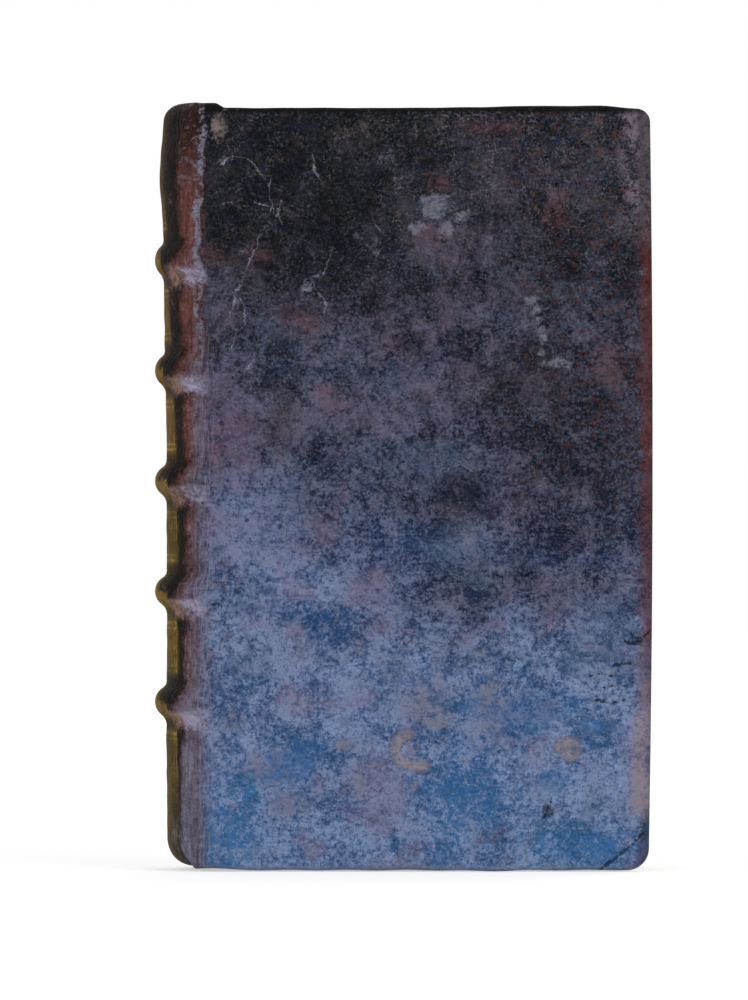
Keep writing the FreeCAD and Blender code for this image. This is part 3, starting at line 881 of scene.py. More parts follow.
# %% Endbands
TURNS = 46
STEPS_PER_TURN = 8
STEPS_AROUND = 16
SLANT = 0.5


def endband(name):
    """Closed ribbed tube along the arc of the back. Its radius is r (0.9 + 0.1 sqrt |cos|)."""
    low, high = box_mm(name)
    radius = (high[2] - low[2]) / 2
    centre, _ = panel_arc()
    path_radius = centre - low[0] - radius
    half = math.asin(min((high[1] - low[1]) / 2 / path_radius, 1)) - 0.002
    steps_along = np.linspace(-1, 1, TURNS * STEPS_PER_TURN + 1)
    steps_around = np.linspace(0, 2 * math.pi, STEPS_AROUND + 1)[:-1]
    along, around = np.meshgrid(steps_along, steps_around, indexing="ij")
    wound = TURNS * 0.5 * (along + 1)
    tube = radius * (0.9 + 0.1 * np.sqrt(np.abs(np.cos(math.pi * wound + SLANT * np.cos(around)))))
    turn = half * along
    reach = path_radius + tube * np.cos(around)
    height = (low[2] + high[2]) / 2 + tube * np.sin(around)
    points = np.stack([centre - reach * np.cos(turn), -reach * np.sin(turn), height], -1).reshape(-1, 3)
    winding = np.stack([wound + 0.08 * np.cos(around), 0 * along, around], -1).reshape(-1, 3)
    new_name = name.replace("endband_silk", "silk_winding")
    piece = new_piece(new_name, points, tube_faces(*along.shape), winding=winding)
    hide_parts(name)
    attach(piece, "book_block")
    return piece


head_winding = endband("head_endband_silk")
tail_winding = endband("tail_endband_silk")

# %% [markdown]
# ## Writing finishes as sums
#
# A finish is a network of small nodes. A socket that knows plus, minus and times lets a finish be
# written as arithmetic, such as 1 - mask, and every sign adds its own node. All other nodes come
# from one method, which takes the node's type, its settings and what its sockets are fed with.

# %% Sockets that add up
class Wire:
    """An output socket. Each arithmetic sign between a wire and a wire or number adds a Math node."""

    def __init__(self, finish, socket):
        self.finish = finish
        self.socket = socket

    def _math(self, operation, first, second):
        return self.finish.node("ShaderNodeMath", {"operation": operation}, {0: first, 1: second})

    def __add__(self, other):
        return self._math("ADD", self, other)

    def __radd__(self, other):
        return self._math("ADD", other, self)

    def __sub__(self, other):
        return self._math("SUBTRACT", self, other)

    def __rsub__(self, other):
        return self._math("SUBTRACT", other, self)

    def __mul__(self, other):
        return self._math("MULTIPLY", self, other)

    def __rmul__(self, other):
        return self._math("MULTIPLY", other, self)

    def __truediv__(self, other):
        return self._math("DIVIDE", self, other)

    def __abs__(self):
        return self._math("ABSOLUTE", self, 0.0)

# %% [markdown]
# ## A finish and its nodes
#
# One class holds the network of a material and a few short methods, one for each kind of node that the
# book needs. They all go through the method node, which sets a node up before anything is linked.

# %% A finish and its nodes
class Finish:
    """A material in the making, with the node types that the finishes of the book are made of."""

    def __init__(self, name):
        self.material = bpy.data.materials.new(name)
        self.material.use_nodes = True
        self.tree = self.material.node_tree
        self.shader = self.tree.nodes["Principled BSDF"]

    def feed(self, socket, value):
        """Links a wire to a socket, or sets the socket to a plain value."""
        if isinstance(value, Wire):
            self.tree.links.new(value.socket, socket)
        else:
            socket.default_value = value

    def node(self, kind, settings=None, sockets=None, output=0):
        """Adds a node, applies its settings, feeds its sockets and returns one output as a wire."""
        node = self.tree.nodes.new(kind)
        for setting, value in (settings or {}).items():
            if setting == "stops":
                self.set_stops(node.color_ramp.elements, value)
            else:
                setattr(node, setting, value)
        for key, value in (sockets or {}).items():
            self.feed(node.inputs[key], value)
        return Wire(self, node.outputs[output])

    def set_stops(self, elements, stops):
        """Gives a ramp its stops, which are (place, colour) in rising order."""
        while len(elements) < len(stops):
            elements.new(1.0)
        for element, (place, colour) in zip(elements, stops):
            element.position = place
            element.color = colour

    def place(self):
        """The place on the piece, in metres."""
        return self.node("ShaderNodeTexCoord", output="Object")

    def layer(self, name):
        """The three numbers of a mesh layer, as one vector."""
        return self.node("ShaderNodeAttribute", {"attribute_name": name}, output="Vector")

    def split(self, vector):
        """The three parts of a vector."""
        first = self.node("ShaderNodeSeparateXYZ", None, {0: vector})
        outputs = first.socket.node.outputs
        return [Wire(self, outputs[k]) for k in range(3)]

    def stretched(self, vector, scale, shift=(0, 0, 0)):
        """A vector times a scale for each axis, plus a shift."""
        settings = {"operation": "MULTIPLY_ADD"}
        return self.node("ShaderNodeVectorMath", settings, {0: vector, 1: scale, 2: shift})

    def noise(self, vector, scale, detail=2.0, roughness=0.5, distortion=0.0):
        """Cloud noise from 0 to 1, most of it near 0.5."""
        sockets = {"Vector": vector, "Scale": scale, "Detail": detail, "Roughness": roughness}
        return self.node("ShaderNodeTexNoise", None, dict(sockets, Distortion=distortion))

    def cells(self, vector, scale, feature="F1", randomness=1.0):
        """Distance to the nearest cell point, or to the nearest wall between cells."""
        sockets = {"Vector": vector, "Scale": scale, "Randomness": randomness}
        return self.node("ShaderNodeTexVoronoi", {"feature": feature}, sockets)

    def step(self, value, start, end):
        """0 before start and 1 after end, eased in between. start may be the larger one."""
        low, high, first, last = (start, end, 0.0, 1.0) if start < end else (end, start, 1.0, 0.0)
        sockets = {"Value": value, "From Min": low, "From Max": high, "To Min": first, "To Max": last}
        return self.node("ShaderNodeMapRange", {"interpolation_type": "SMOOTHSTEP"}, sockets)

    def blend(self, share, under, over, kind="MIX"):
        """A colour over another, by share."""
        settings = {"data_type": "RGBA", "blend_type": kind, "clamp_factor": True}
        return self.node("ShaderNodeMix", settings, {0: share, 6: under, 7: over}, output=2)

    def ramp(self, value, stops):
        """A colour that changes along a value."""
        return self.node("ShaderNodeValToRGB", {"stops": stops}, {0: value})

    def larger(self, first, second):
        """The larger of two values."""
        return self.node("ShaderNodeMath", {"operation": "MAXIMUM"}, {0: first, 1: second})

    def seen(self):
        """1 where a camera, glossy or transmission ray arrives, and 0 for all other light."""
        outputs = self.node("ShaderNodeLightPath").socket.node.outputs
        camera, glossy, through = (
            Wire(self, outputs[f"Is {kind} Ray"]) for kind in ("Camera", "Glossy", "Transmission")
        )
        return self.larger(self.larger(camera, glossy), through)

    def relief(self, height_mm):
        """Feeds a relief in millimetres to the shader's normal."""
        sockets = {"Height": height_mm, "Distance": METRES_PER_MM, "Strength": 1.0}
        self.feed(self.shader.inputs["Normal"], self.node("ShaderNodeBump", None, sockets))

    def surface(self, colour, roughness, specular=0.5):
        """Base colour and roughness, and the shader's own specular level."""
        self.feed(self.shader.inputs["Base Color"], colour)
        self.feed(self.shader.inputs["Roughness"], roughness)
        self.shader.inputs["Specular IOR Level"].default_value = specular

    def dress(self, *names):
        """Puts the finish on pieces of the scene."""
        for name in names:
            mesh = bpy.data.objects[name].data
            mesh.materials.clear()
            mesh.materials.append(self.material)
        print(self.material.name, "has", len(self.tree.nodes), "nodes and is on", len(names), "pieces")

# %% [markdown]
# ## Colours
#
# Colours are easiest to judge on a screen, but light adds up in linear values. So they are written as
# they look, and converted once.

# %% Colours
def tint(red, green, blue):
    """A colour given as it looks on a screen, 0 to 255, as the shader's linear values.

    Below 0.04045 a screen value is divided by 12.92, and above it is ((value + 0.055) / 1.055)^2.4.
    """
    screen = np.array([red, green, blue]) / 255
    linear = np.where(screen < 0.04045, screen / 12.92, ((screen + 0.055) / 1.055) ** 2.4)
    return (*linear.tolist(), 1.0)

# %% [markdown]
# ## Old calf
#
# The calf was dyed dark and then lost its colour unevenly. Near the head it is almost black, and
# towards the foot a painted sheen of light from below turns it steel blue. A greyish mauve film lies
# over it in ragged islands. The skin is pebbled, with pale threads where the grain has cracked. All of
# this follows the skin, in millimetres along it and up it, so a pattern keeps its size and turns with
# an opening cover.

# %% Calf: tone by height
BOOK_HEIGHT = 170.0
calf = Finish("old_calf")
skin_place = calf.layer("skin_mm")


def shifted_noise(shift, *settings):
    """Noise on the skin, moved by a shift in millimetres, so that no two noises look alike."""
    return calf.noise(calf.stretched(skin_place, (1, 1, 1), shift), *settings)


along, height, depth = calf.split(skin_place)
off_middle = abs(along)
cover_place = off_middle - (cover_start - face_x)
darker, paler, bluer = calf.split(calf.layer("clouds"))
drift = calf.noise(skin_place, 0.030, 2.0, 0.5)
# The level rises with the height, and the ramps below paint a sheen of light from below along it.
level = (height + 44.0 * (drift - 0.5) + 5.0 * calf.step(height, 110, 150)) / BOOK_HEIGHT
level = level + 0.19 * calf.step(darker, 0.0, 0.9) - 0.14 * calf.step(paler, 0.0, 0.9)
mottle = calf.noise(skin_place, 0.09, 7.0, 0.93, 0.2)
pebble = calf.noise(skin_place, 0.80, 3.0, 0.85)
high_up = calf.step(height, 75, 150)
tone = calf.step(mottle + 0.60 * (pebble - 0.5), 0.37, 0.63)
past_joint = off_middle + 8 * (mottle - 0.5) - 18.6 - 1.4 * high_up
on_cover_mask = calf.step(past_joint / (5.4 - 3.4 * high_up), 0.0, 1.0)
print("Calf: tone by height:", len(calf.tree.nodes), "nodes so far")

# %% [markdown]
# ## Two tones that change with the height
#
# The change from steel blue at the foot to nearly black at the head is a painted sheen of light from
# below. Each of two ramps gives one tone for the level: the low one is the bare skin, the high one the
# greyish film that lies on it in fine mottling. Slow noise then turns some areas towards mauve and
# others towards teal.

# %% Calf: two tones and their hue
# Painted sheen: both ramps are paler and bluer at low levels and darker at high ones.
low_tone = calf.ramp(level, [
    (0.00, tint(48, 82, 128)),
    (0.22, tint(44, 74, 118)),
    (0.40, tint(26, 42, 76)),
    (0.54, tint(17, 23, 44)),
    (0.70, tint(10, 13, 25)),
    (0.84, tint(4, 5, 9)),
    (1.00, tint(2, 3, 4)),
])
high_tone = calf.ramp(level, [
    (0.00, tint(136, 160, 200)),
    (0.22, tint(138, 156, 194)),
    (0.40, tint(114, 126, 160)),
    (0.54, tint(98, 102, 128)),
    (0.70, tint(84, 85, 106)),
    (0.84, tint(58, 60, 70)),
    (1.00, tint(48, 49, 56)),
])
hide = calf.blend(tone, low_tone, high_tone)
hue_noise = shifted_noise((0, 50, 25), 0.055, 6.0, 0.70, 0.2)
dim = calf.step(level, 1.05, 0.45)
mauve = calf.step(hue_noise - 0.10 * calf.step(bluer, 0.0, 0.8), 0.51, 0.62)
hide = calf.blend(0.46 * mauve * dim, hide, tint(122, 104, 128))
hide = calf.blend(0.40 * calf.step(hue_noise, 0.47, 0.36) * dim, hide, tint(58, 84, 112))
print("Calf: two tones and their hue:", len(calf.tree.nodes), "nodes so far")

# %% [markdown]
# ## Islands of film and pools of blue
#
# Handling wore the film off in ragged islands, and under it the blue dye shows in pools. Both come
# from noise with a hard step, which gives the torn outline. Dark blotches gather towards the head.

# %% Calf: islands of film and pools of blue
# These ramps follow the level too, so they carry the painted sheen: paler and bluer towards the foot.
deep = calf.ramp(level, [
    (0.0, tint(56, 110, 162)), (0.12, tint(46, 94, 146)), (0.3, tint(34, 70, 116)), (0.45, tint(20, 42, 78)),
    (0.60, tint(16, 24, 44)), (0.80, tint(10, 14, 24)), (1.0, tint(5, 6, 8)),
])
film_tone = calf.ramp(level, [
    (0.0, tint(132, 146, 180)), (0.3, tint(126, 132, 164)), (0.5, tint(108, 104, 126)),
    (0.7, tint(86, 76, 86)), (0.85, tint(66, 62, 72)), (1.0, tint(58, 56, 62)),
])
pool_noise = shifted_noise((70, 20, 0), 0.060, 8.0, 0.72, 0.3)
pool = calf.step(pool_noise + 0.26 * calf.step(bluer, 0.0, 0.9), 0.51, 0.70)
hide = calf.blend(0.85 * pool * (1.2 - tone), hide, deep)
film_noise = calf.noise(calf.stretched(skin_place, (1, 0.85, 1), (10, 60, 0)), 0.075, 8.0, 0.74, 0.3)
film = calf.step(film_noise + 0.10 * calf.step(paler, 0.1, 0.7), 0.53, 0.63)
hide = calf.blend(0.62 * film * (0.4 + tone), hide, film_tone)
blotch_noise = shifted_noise((90, 0, 50), 0.11, 6.0, 0.72, 0.3)
blotch = calf.step(blotch_noise, 0.52, 0.40) * calf.step(height, 70, 125)
hide = calf.blend(0.62 * blotch, hide, tint(7, 8, 12))
print("Calf: islands of film and pools of blue:", len(calf.tree.nodes), "nodes so far")

# %% [markdown]
# ## Grain, threads and rust
#
# Close up the skin has fine pale grains and dark pores. Where the surface has cracked, near the
# head, pale threads run between the cells of the grain. Reddish rot shows towards the fore edge.

# %% Calf: grain, threads, rust
grain = calf.noise(skin_place, 1.5, 2.0, 0.7)
dots = calf.step(grain, 0.54, 0.70)
pits = calf.step(grain, 0.42, 0.30)
hide = calf.blend(0.42 * dots * (0.45 + 0.55 * dim), hide, tint(126, 134, 162))
hide = calf.blend(0.55 * pits, hide, tint(8, 11, 20))
short = shifted_noise((0, 30, 60), 0.22, 4.0, 0.65)
bend_sockets = {"Vector": skin_place, "Scale": 0.9, "Detail": 2.0}
bend = calf.node("ShaderNodeTexNoise", None, bend_sockets, output="Color")
bent = calf.stretched(bend, (1.6, 1.6, 1.6), skin_place)
web_cells = calf.cells(bent, 0.72, "DISTANCE_TO_EDGE")
near_head = calf.step(height, 118, 160) + 0.35 * calf.step(height, 60, 110)
web = calf.step(web_cells, 0.075, 0.015) * calf.step(short + 0.06 * near_head, 0.52, 0.66)
thread = web * calf.step(grain, 0.42, 0.56) * near_head
hide = calf.blend(0.50 * thread, hide, tint(122, 122, 132))
fibre_noise = shifted_noise((0, 0, 90), 0.75, 3.0, 0.6, 1.2)
fibre = calf.step(abs(fibre_noise - 0.5), 0.020, 0.004) * calf.step(pebble, 0.47, 0.56)
hide = calf.blend(0.30 * fibre * (0.4 + 0.6 * near_head), hide, tint(128, 126, 142))
fleck_noise = shifted_noise((0, 0, 140), 0.30, 5.0, 0.75)
hide = calf.blend(0.42 * calf.step(fleck_noise, 0.53, 0.68) * near_head, hide, tint(26, 42, 70))
hide = calf.blend(0.30 * calf.step(fleck_noise, 0.46, 0.34) * near_head, hide, tint(96, 80, 78))
darkest = calf.step(darker, 0.10, 0.75) * calf.step(height, 118, 142)
hide = calf.blend(0.46 * darkest, hide, tint(7, 9, 13))
wrinkle_noise = calf.noise(calf.stretched(skin_place, (0.8, 1, 0.8), (60, 0, 0)), 0.20, 5.0, 0.62, 0.5)
wrinkle = calf.step(abs(wrinkle_noise - 0.5), 0.022, 0.004) * calf.step(pool_noise, 0.50, 0.58)
wrinkle = wrinkle * on_cover_mask
hide = calf.blend(0.35 * wrinkle * calf.step(height, 115, 60), hide, tint(20, 32, 58))
rust_noise = shifted_noise((0, 0, 40), 0.45, 5.0, 0.75)
rusty = calf.step(cover_place, 0, 48) * calf.step(height, 50, 110)
hide = calf.blend(0.48 * rusty * calf.step(rust_noise, 0.53, 0.62), hide, tint(92, 52, 44))
print("Calf: grain, threads, rust:", len(calf.tree.nodes), "nodes so far")

# %% [markdown]
# ## Worn edges of the boards
#
# Edges rub first. The distance from the bowed fore edge, made ragged with noise, decides where the
# leather has gone reddish or grey, and the height decides which of these colours it has there.

# %% Calf: worn edges of the boards
middle_height = cover_high[2] * 0.55
curve = (height - middle_height) / middle_height
fore = fore_x - FORE_BOW * curve * curve - cover_place
ragged = 5.0 * (mottle - 0.5) + 1.6 * (rust_noise - 0.5)
fore_wear = calf.step(fore + 2.2 * ragged, 3.8, 1.2)
fore_tone = calf.ramp(height / BOOK_HEIGHT, [
    (0.00, tint(96, 40, 34)), (0.06, tint(14, 14, 18)), (0.09, tint(150, 130, 132)),
    (0.20, tint(140, 120, 128)), (0.30, tint(104, 62, 56)), (0.80, tint(96, 44, 38)),
    (0.86, tint(112, 100, 112)), (1.0, tint(96, 88, 98)),
])
hide = calf.blend(0.84 * fore_wear * (0.30 + 0.9 * tone), hide, fore_tone)
beside = calf.step(fore, 1.8, 3.4) * calf.step(fore, 8.5, 4.5) * calf.step(height, 136, 150)
beside = beside * calf.step(mottle, 0.44, 0.54)
hide = calf.blend(0.80 * beside, hide, tint(132, 118, 132))
low_edge = calf.step(fore, 0.8, 2.2) * calf.step(fore + ragged, 5.4, 3.6)
low_edge = low_edge * calf.step(height, 11, 15) * calf.step(height, 40, 30)
hide = calf.blend(0.70 * low_edge * (0.4 + tone), hide, tint(150, 134, 146))
hide = calf.blend(0.60 * calf.step(height + 0.5 * ragged, 1.7, 0.5), hide, tint(130, 138, 164))
hide = calf.blend(0.85 * calf.step(height + 0.6 * ragged, 167.0, 168.2), hide, tint(6, 6, 6))
print("Calf: worn edges of the boards:", len(calf.tree.nodes), "nodes so far")

# %% [markdown]
# ## The gilt back
#
# The back was gilt with double fillets and a lozenge in each panel, now mostly rubbed to ochre.
# The height is wrapped so that it counts from the nearest band, and one set of lines serves all
# six panels. The tooling stops before the shoulders.

# %% Calf: gilt back
HALF_PANEL = 12.25
streak_noise = calf.noise(calf.stretched(skin_place, (1.0, 0.10, 1.0)), 1.5, 4.0, 0.7)
wrap_sockets = {0: height - band_heights[2], 1: HALF_PANEL, 2: -HALF_PANEL}
away = calf.node("ShaderNodeMath", {"operation": "WRAP"}, wrap_sockets)
lowest, highest = band_heights[0], band_heights[-1]
banded = calf.step(height, lowest - 12, lowest - 10) * calf.step(height, highest + 12, highest + 10)
from_band = abs(away) + 20 * (1 - banded)
ochre = calf.ramp(height / BOOK_HEIGHT, [
    (0.0, tint(104, 84, 44)), (0.35, tint(124, 100, 36)), (0.7, tint(128, 92, 36)), (0.86, tint(104, 76, 34)),
    (0.93, tint(74, 56, 28)), (1.0, tint(46, 36, 20)),
])
leaf_gold = tint(172, 148, 82)
worn_gold = calf.step(mottle, 0.44, 0.53)
frame_line = calf.step(abs(off_middle - 12.3), 0.42, 0.18) + calf.step(abs(off_middle - 11.0), 0.26, 0.12)
fillet = calf.step(abs(from_band - 6.9), 0.42, 0.18) + calf.step(abs(from_band - 8.1), 0.26, 0.12)
framed = frame_line * calf.step(from_band, 6.2, 6.6) + fillet * calf.step(off_middle, 12.8, 12.4)
lozenge = calf.step(abs(off_middle / 4.2 + (HALF_PANEL - from_band) / 3.6 - 1.0), 0.16, 0.06) * banded
ochre = calf.blend(0.80 * worn_gold * (framed + lozenge), ochre, leaf_gold)
ochre = calf.blend(0.50 * (1 - tone), ochre, tint(30, 24, 8))
ochre = calf.blend(0.55 * calf.step(pool_noise, 0.47, 0.60), ochre, tint(44, 32, 16))
# A painted highlight on the crest of each band, which is also rubbed there, and painted shade in the hollows
# beside it.
crest = calf.step(from_band + 16 * (mottle - 0.5), 2.2, 0.6)
valley = calf.step(abs(from_band - 4.9), 2.0, 0.4)
ochre = calf.blend(0.50 * crest, ochre, tint(150, 118, 66))
ochre = calf.blend(0.70 * valley, ochre, tint(22, 16, 8))
heel = calf.step(height + 60 * (mottle - 0.5), 24, 7) * calf.step(off_middle, 4.0, 10.0)
heel_tone = calf.blend(calf.step(mottle, 0.48, 0.55), tint(22, 20, 16), tint(92, 96, 88))
ochre = calf.blend(0.75 * heel, ochre, heel_tone)
print("Calf: gilt back:", len(calf.tree.nodes), "nodes so far")

# %% [markdown]
# ## Shoulders, roll and joint
#
# Between the gilt back and the cover lie three strips: a strip of painted shade where the back curves
# round, the reddish shoulder, and the joint, whose leather flakes and cracks where it bends. They are
# laid side by side by the distance from the middle of the back, which noise makes uneven.

# %% Calf: shoulders, roll and joint
worn = off_middle + 7.0 * (mottle - 0.5) + 1.2 * (streak_noise - 0.5)
sway = shifted_noise((33, 0, 0), 0.10, 2.0, 0.5)
shoulder = calf.blend(calf.step(height, 95, 20), tint(126, 80, 72), tint(138, 118, 130))
shoulder = calf.blend(calf.step(height, 42, 18), shoulder, tint(142, 138, 162))
shoulder = calf.blend(calf.step(worn, 17.0, 20.0) * (1 - 0.8 * high_up), shoulder, tint(124, 112, 128))
shoulder = calf.blend(calf.step(streak_noise, 0.60, 0.40) * 0.45, shoulder, tint(36, 20, 18))
shoulder = calf.blend(0.55 * (1 - tone), shoulder, tint(22, 13, 12))
crown = calf.step(height + 90 * (mottle - 0.5), 150, 158)
crown_tone = calf.blend(calf.step(mottle, 0.48, 0.54), tint(14, 13, 14), tint(112, 96, 104))
shoulder = calf.blend(0.80 * crown, shoulder, crown_tone)
# Painted shade where the back curves round towards the shoulder: a dark, mottled strip.
shade_strip = worn + 5.2 * high_up + 1.8 * (sway - 0.5)
shade_strip_tone = calf.blend(calf.step(mottle + 0.5 * (pebble - 0.5), 0.44, 0.60), tint(7, 6, 5), tint(44, 30, 22))
back = calf.blend(calf.step(shade_strip, 12.0, 13.8), ochre, shade_strip_tone)
rolled = worn + 1.6 * high_up + 2.2 * calf.step(height, 40, 12)
back = calf.blend(calf.step(rolled, 15.0, 18.2), back, shoulder)
joint_line = worn + 5.0 * (sway - 0.5)
flakes = calf.step(joint_line, 19.4, 19.9) * calf.step(joint_line, 21.2, 20.6)
flakes = flakes * calf.step(mottle + 0.5 * (pebble - 0.5), 0.44, 0.52)
hide = calf.blend(on_cover_mask, back, hide)
hide = calf.blend(0.90 * flakes * high_up, hide, tint(128, 130, 148))
hair_noise = calf.noise(calf.stretched(skin_place, (1.0, 0.07, 1.0), (0, 0, 30)), 0.9, 3.0, 0.6)
hair = calf.step(abs(hair_noise - 0.5), 0.035, 0.010)
hair = hair * calf.step(off_middle, 18.5, 20.5) * calf.step(off_middle, 25.5, 22.5)
hide = calf.blend(0.42 * hair * (1 - high_up), hide, tint(146, 136, 158))
gap_line = calf.step(abs(joint_line - 21.3), 0.35, 0.10) * high_up * calf.step(sway, 0.40, 0.50)
hide = calf.blend(0.85 * gap_line, hide, tint(6, 6, 8))
print("Calf: shoulders, roll and joint:", len(calf.tree.nodes), "nodes so far")

# %% [markdown]
# ## Flanks of the bands
#
# Each band has painted shade on its upper flank, a painted highlight on its lower one and painted shade in
# the notch below.
# All three are stripes of the height counted from the nearest band, cut off at the back's sides.

# %% Calf: painted shade and highlight on the flanks of the bands
wobble = away + 9.0 * (mottle - 0.5)
upper_flank_shade = calf.step(wobble, -0.6, 0.6) * calf.step(wobble, 6.5, 3.5)
upper_flank_shade = upper_flank_shade * calf.step(worn, 18.6, 16.4) * calf.step(off_middle, 4.0, 9.0)
lower_flank_highlight = calf.step(wobble, -1.0, -2.2) * calf.step(wobble, -6.6, -4.2)
lower_flank_highlight = lower_flank_highlight * calf.step(worn, 9.0, 14.0) * calf.step(worn, 23.0, 20.0)
notch_shade = calf.step(wobble, -4.8, -5.8) * calf.step(wobble, -9.0, -6.5)
notch_shade = notch_shade * calf.step(worn, 12.2, 13.4) * calf.step(worn, 17.6, 16.0)
flank_highlight_tone = calf.blend(calf.step(worn, 15.0, 18.5), tint(158, 126, 116), tint(160, 156, 182))
# Painted shade on the upper flank and in the notch, and a painted highlight on the lower flank.
hide = calf.blend(0.92 * upper_flank_shade * banded, hide, tint(10, 8, 5))
hide = calf.blend(0.80 * notch_shade * banded, hide, tint(8, 7, 7))
hide = calf.blend(0.80 * lower_flank_highlight * banded * (0.35 + tone), hide, flank_highlight_tone)
print("Calf: light and dark flanks of the bands:", len(calf.tree.nodes), "nodes so far")

# %% [markdown]
# ## Marks of the front cover
#
# Last come the listed marks. A crack is drawn where its signed distance passes
# through zero, so it is much thinner than the grid of the mesh. The others are soft thresholds of
# the strengths kept with the points, each shaken by the mottling so that it sits in the skin.

# %% Calf: marks of the front cover
signed, near, here = calf.split(calf.layer("cracks"))
pale, dark, brown = calf.split(calf.layer("stains"))
shake = signed + 2.4 * (pebble - 0.5) + 0.5 * (grain - 0.5)
line_width = 0.10 + 0.14 * calf.step(short, 0.40, 0.62)
line = here * calf.step(abs(shake) / line_width, 1.0, 0.4) * calf.step(near, 1.0, 0.6)
hide = calf.blend(0.80 * line * (0.4 + tone), hide, tint(146, 146, 164))
edge_noise = 3.4 * (mottle - 0.5)
warm_pale = calf.blend(calf.step(height, 158, 162), tint(126, 128, 146), tint(134, 120, 116))
hide = calf.blend(0.72 * calf.step(pale + edge_noise, 0.20, 0.75) * (0.3 + tone), hide, warm_pale)
hide = calf.blend(0.30 * calf.step(brown + edge_noise, 0.25, 0.95) * (0.3 + tone), hide, tint(112, 74, 76))
hide = calf.blend(0.70 * calf.step(dark + 0.8 * edge_noise, 0.40, 0.66), hide, tint(11, 15, 27))
crease, welt, patch = calf.split(calf.layer("folds"))
patch_edge = patch + 2.4 * (mottle - 0.5)
patched = calf.step(patch_edge, 0.42, 0.60)
rim = calf.step(abs(patch_edge - 0.40), 0.06, 0.01) * here
hide = calf.blend(0.72 * patched * (1.10 - 0.6 * tone), hide, deep)
hide = calf.blend(0.16 * rim * calf.step(height, 100, 50), hide, tint(150, 158, 184))
fold = here * calf.step(crease + 2.0 * (mottle - 0.5) + 1.2 * (pebble - 0.5), 0.36, 0.08)
hide = calf.blend(0.70 * fold, hide, tint(14, 18, 30))
welted = here * calf.step(welt + 6.0 * (mottle - 0.5) + 1.5 * (pebble - 0.5), 1.9, 0.9)
hide = calf.blend(0.60 * welted * (0.5 + 0.8 * tone), hide, tint(154, 138, 134))
print("Calf: marks of the front cover:", len(calf.tree.nodes), "nodes so far")

# %% [markdown]
# ## Inner side, gloss and relief of the calf
#
# The turned-in leather keeps its brown, because no light has reached it. The outside is dull, and
# duller where the film lies. The relief adds smooth bumps to the grain, lowers the creases and raises
# the welts. Then the finish goes on the three pieces of leather.

# %% Calf: inner side, gloss and relief
inner = calf.split(calf.layer("inside"))[0]
hide = calf.blend(inner, hide, calf.blend(tone, tint(58, 34, 22), tint(122, 78, 52)))
calf.surface(hide, 0.60 + 0.22 * tone, specular=0.06)
bumps = calf.noise(skin_place, 0.85, 1.0, 0.5, 0.4)
grain_relief = 0.60 * bumps + 0.15 * pebble + 0.3 * mottle
calf.relief(grain_relief - 0.1 * wrinkle - 0.1 * line - 0.3 * fold + 0.25 * welted)
calf.dress("spine_calf", "front_calf", "back_calf")

# %% [markdown]
# ## Edges of the leaves
#
# The cut edges of old paper are brown, dusty and streaked along the leaves. The streaks are noise that
# is squeezed hard across the thickness, so that it runs along each leaf.

# %% Finish of the leaves
leaf_edge = Finish("leaf_edges")
dust = leaf_edge.noise(leaf_edge.place(), 160.0, 5.0, 0.65)
streaks = leaf_edge.noise(leaf_edge.stretched(leaf_edge.place(), (40, 9000, 40)), 1.0, 2.0, 0.6)
edge_colour = leaf_edge.blend(leaf_edge.step(streaks, 0.35, 0.65), tint(150, 124, 88), tint(206, 188, 150))
edge_colour = leaf_edge.blend(0.5 * leaf_edge.step(dust, 0.5, 0.7), edge_colour, tint(120, 92, 62))
leaf_edge.surface(edge_colour, 0.85, specular=0.2)
leaf_edge.relief(0.08 * streaks)
leaf_edge.dress("text_leaves")

# %% [markdown]
# ## Endpapers
#
# Handmade paper is uneven in tone and has brown spots, called foxing, where iron or mould stained it.
# One slow noise gives the tone, and the peaks of a finer one give the spots.

# %% Finish of the papers
paper = Finish("laid_paper")
foxing = paper.noise(paper.place(), 120.0, 6.0, 0.6)
unevenness = paper.noise(paper.place(), 30.0, 4.0, 0.55)
sheet = paper.blend(paper.step(unevenness, 0.35, 0.65), tint(214, 200, 168), tint(196, 178, 142))
sheet = paper.blend(0.7 * paper.step(foxing, 0.62, 0.70), sheet, tint(150, 108, 66))
paper.surface(sheet, 0.9, specular=0.2)
paper.relief(0.02 * foxing)
paper.dress("front_free_endpaper", "back_free_endpaper", "front_pastedown", "back_pastedown")

# %% [markdown]
# ## Parchment, hemp and pasteboard
#
# These lie under the leather and show only when the book is taken apart. Parchment is cream with faint
# fibres. Hemp cord is drawn by noise that is squeezed along its twist. Pasteboard is grey-brown pulp.

# %% Finish of parchment, hemp and board
parchment = Finish("parchment_strips")
fibres = parchment.noise(parchment.place(), 200.0, 5.0, 0.6)
parchment.surface(parchment.blend(fibres, tint(222, 206, 168), tint(178, 156, 112)), 0.6, specular=0.3)
parchment.dress("spine_lining")

hemp = Finish("hemp_cord")
twist = hemp.noise(hemp.stretched(hemp.place(), (900, 900, 2400)), 1.0, 3.0, 0.6)
hemp.surface(hemp.blend(twist, tint(120, 96, 62), tint(196, 172, 124)), 0.85, specular=0.2)
hemp.relief(0.15 * twist)
cords = [f"sewing_cord_{k}" for k in range(1, 6)]
hemp.dress(*cords, "front_cord_slips", "back_cord_slips", "head_endband_core", "tail_endband_core")

board = Finish("rope_pasteboard")
pulp = board.noise(board.place(), 260.0, 6.0, 0.7)
board.surface(board.blend(pulp, tint(120, 100, 76), tint(168, 148, 116)), 0.92, specular=0.2)
board.relief(0.1 * pulp)
board.dress("front_board", "back_board")

# %% [markdown]
# ## Silk
#
# Two silks are wound over the core by turns. The layer of the endband counts the turns, and a value
# that goes up and down between 0 and 1 with them picks the silk.

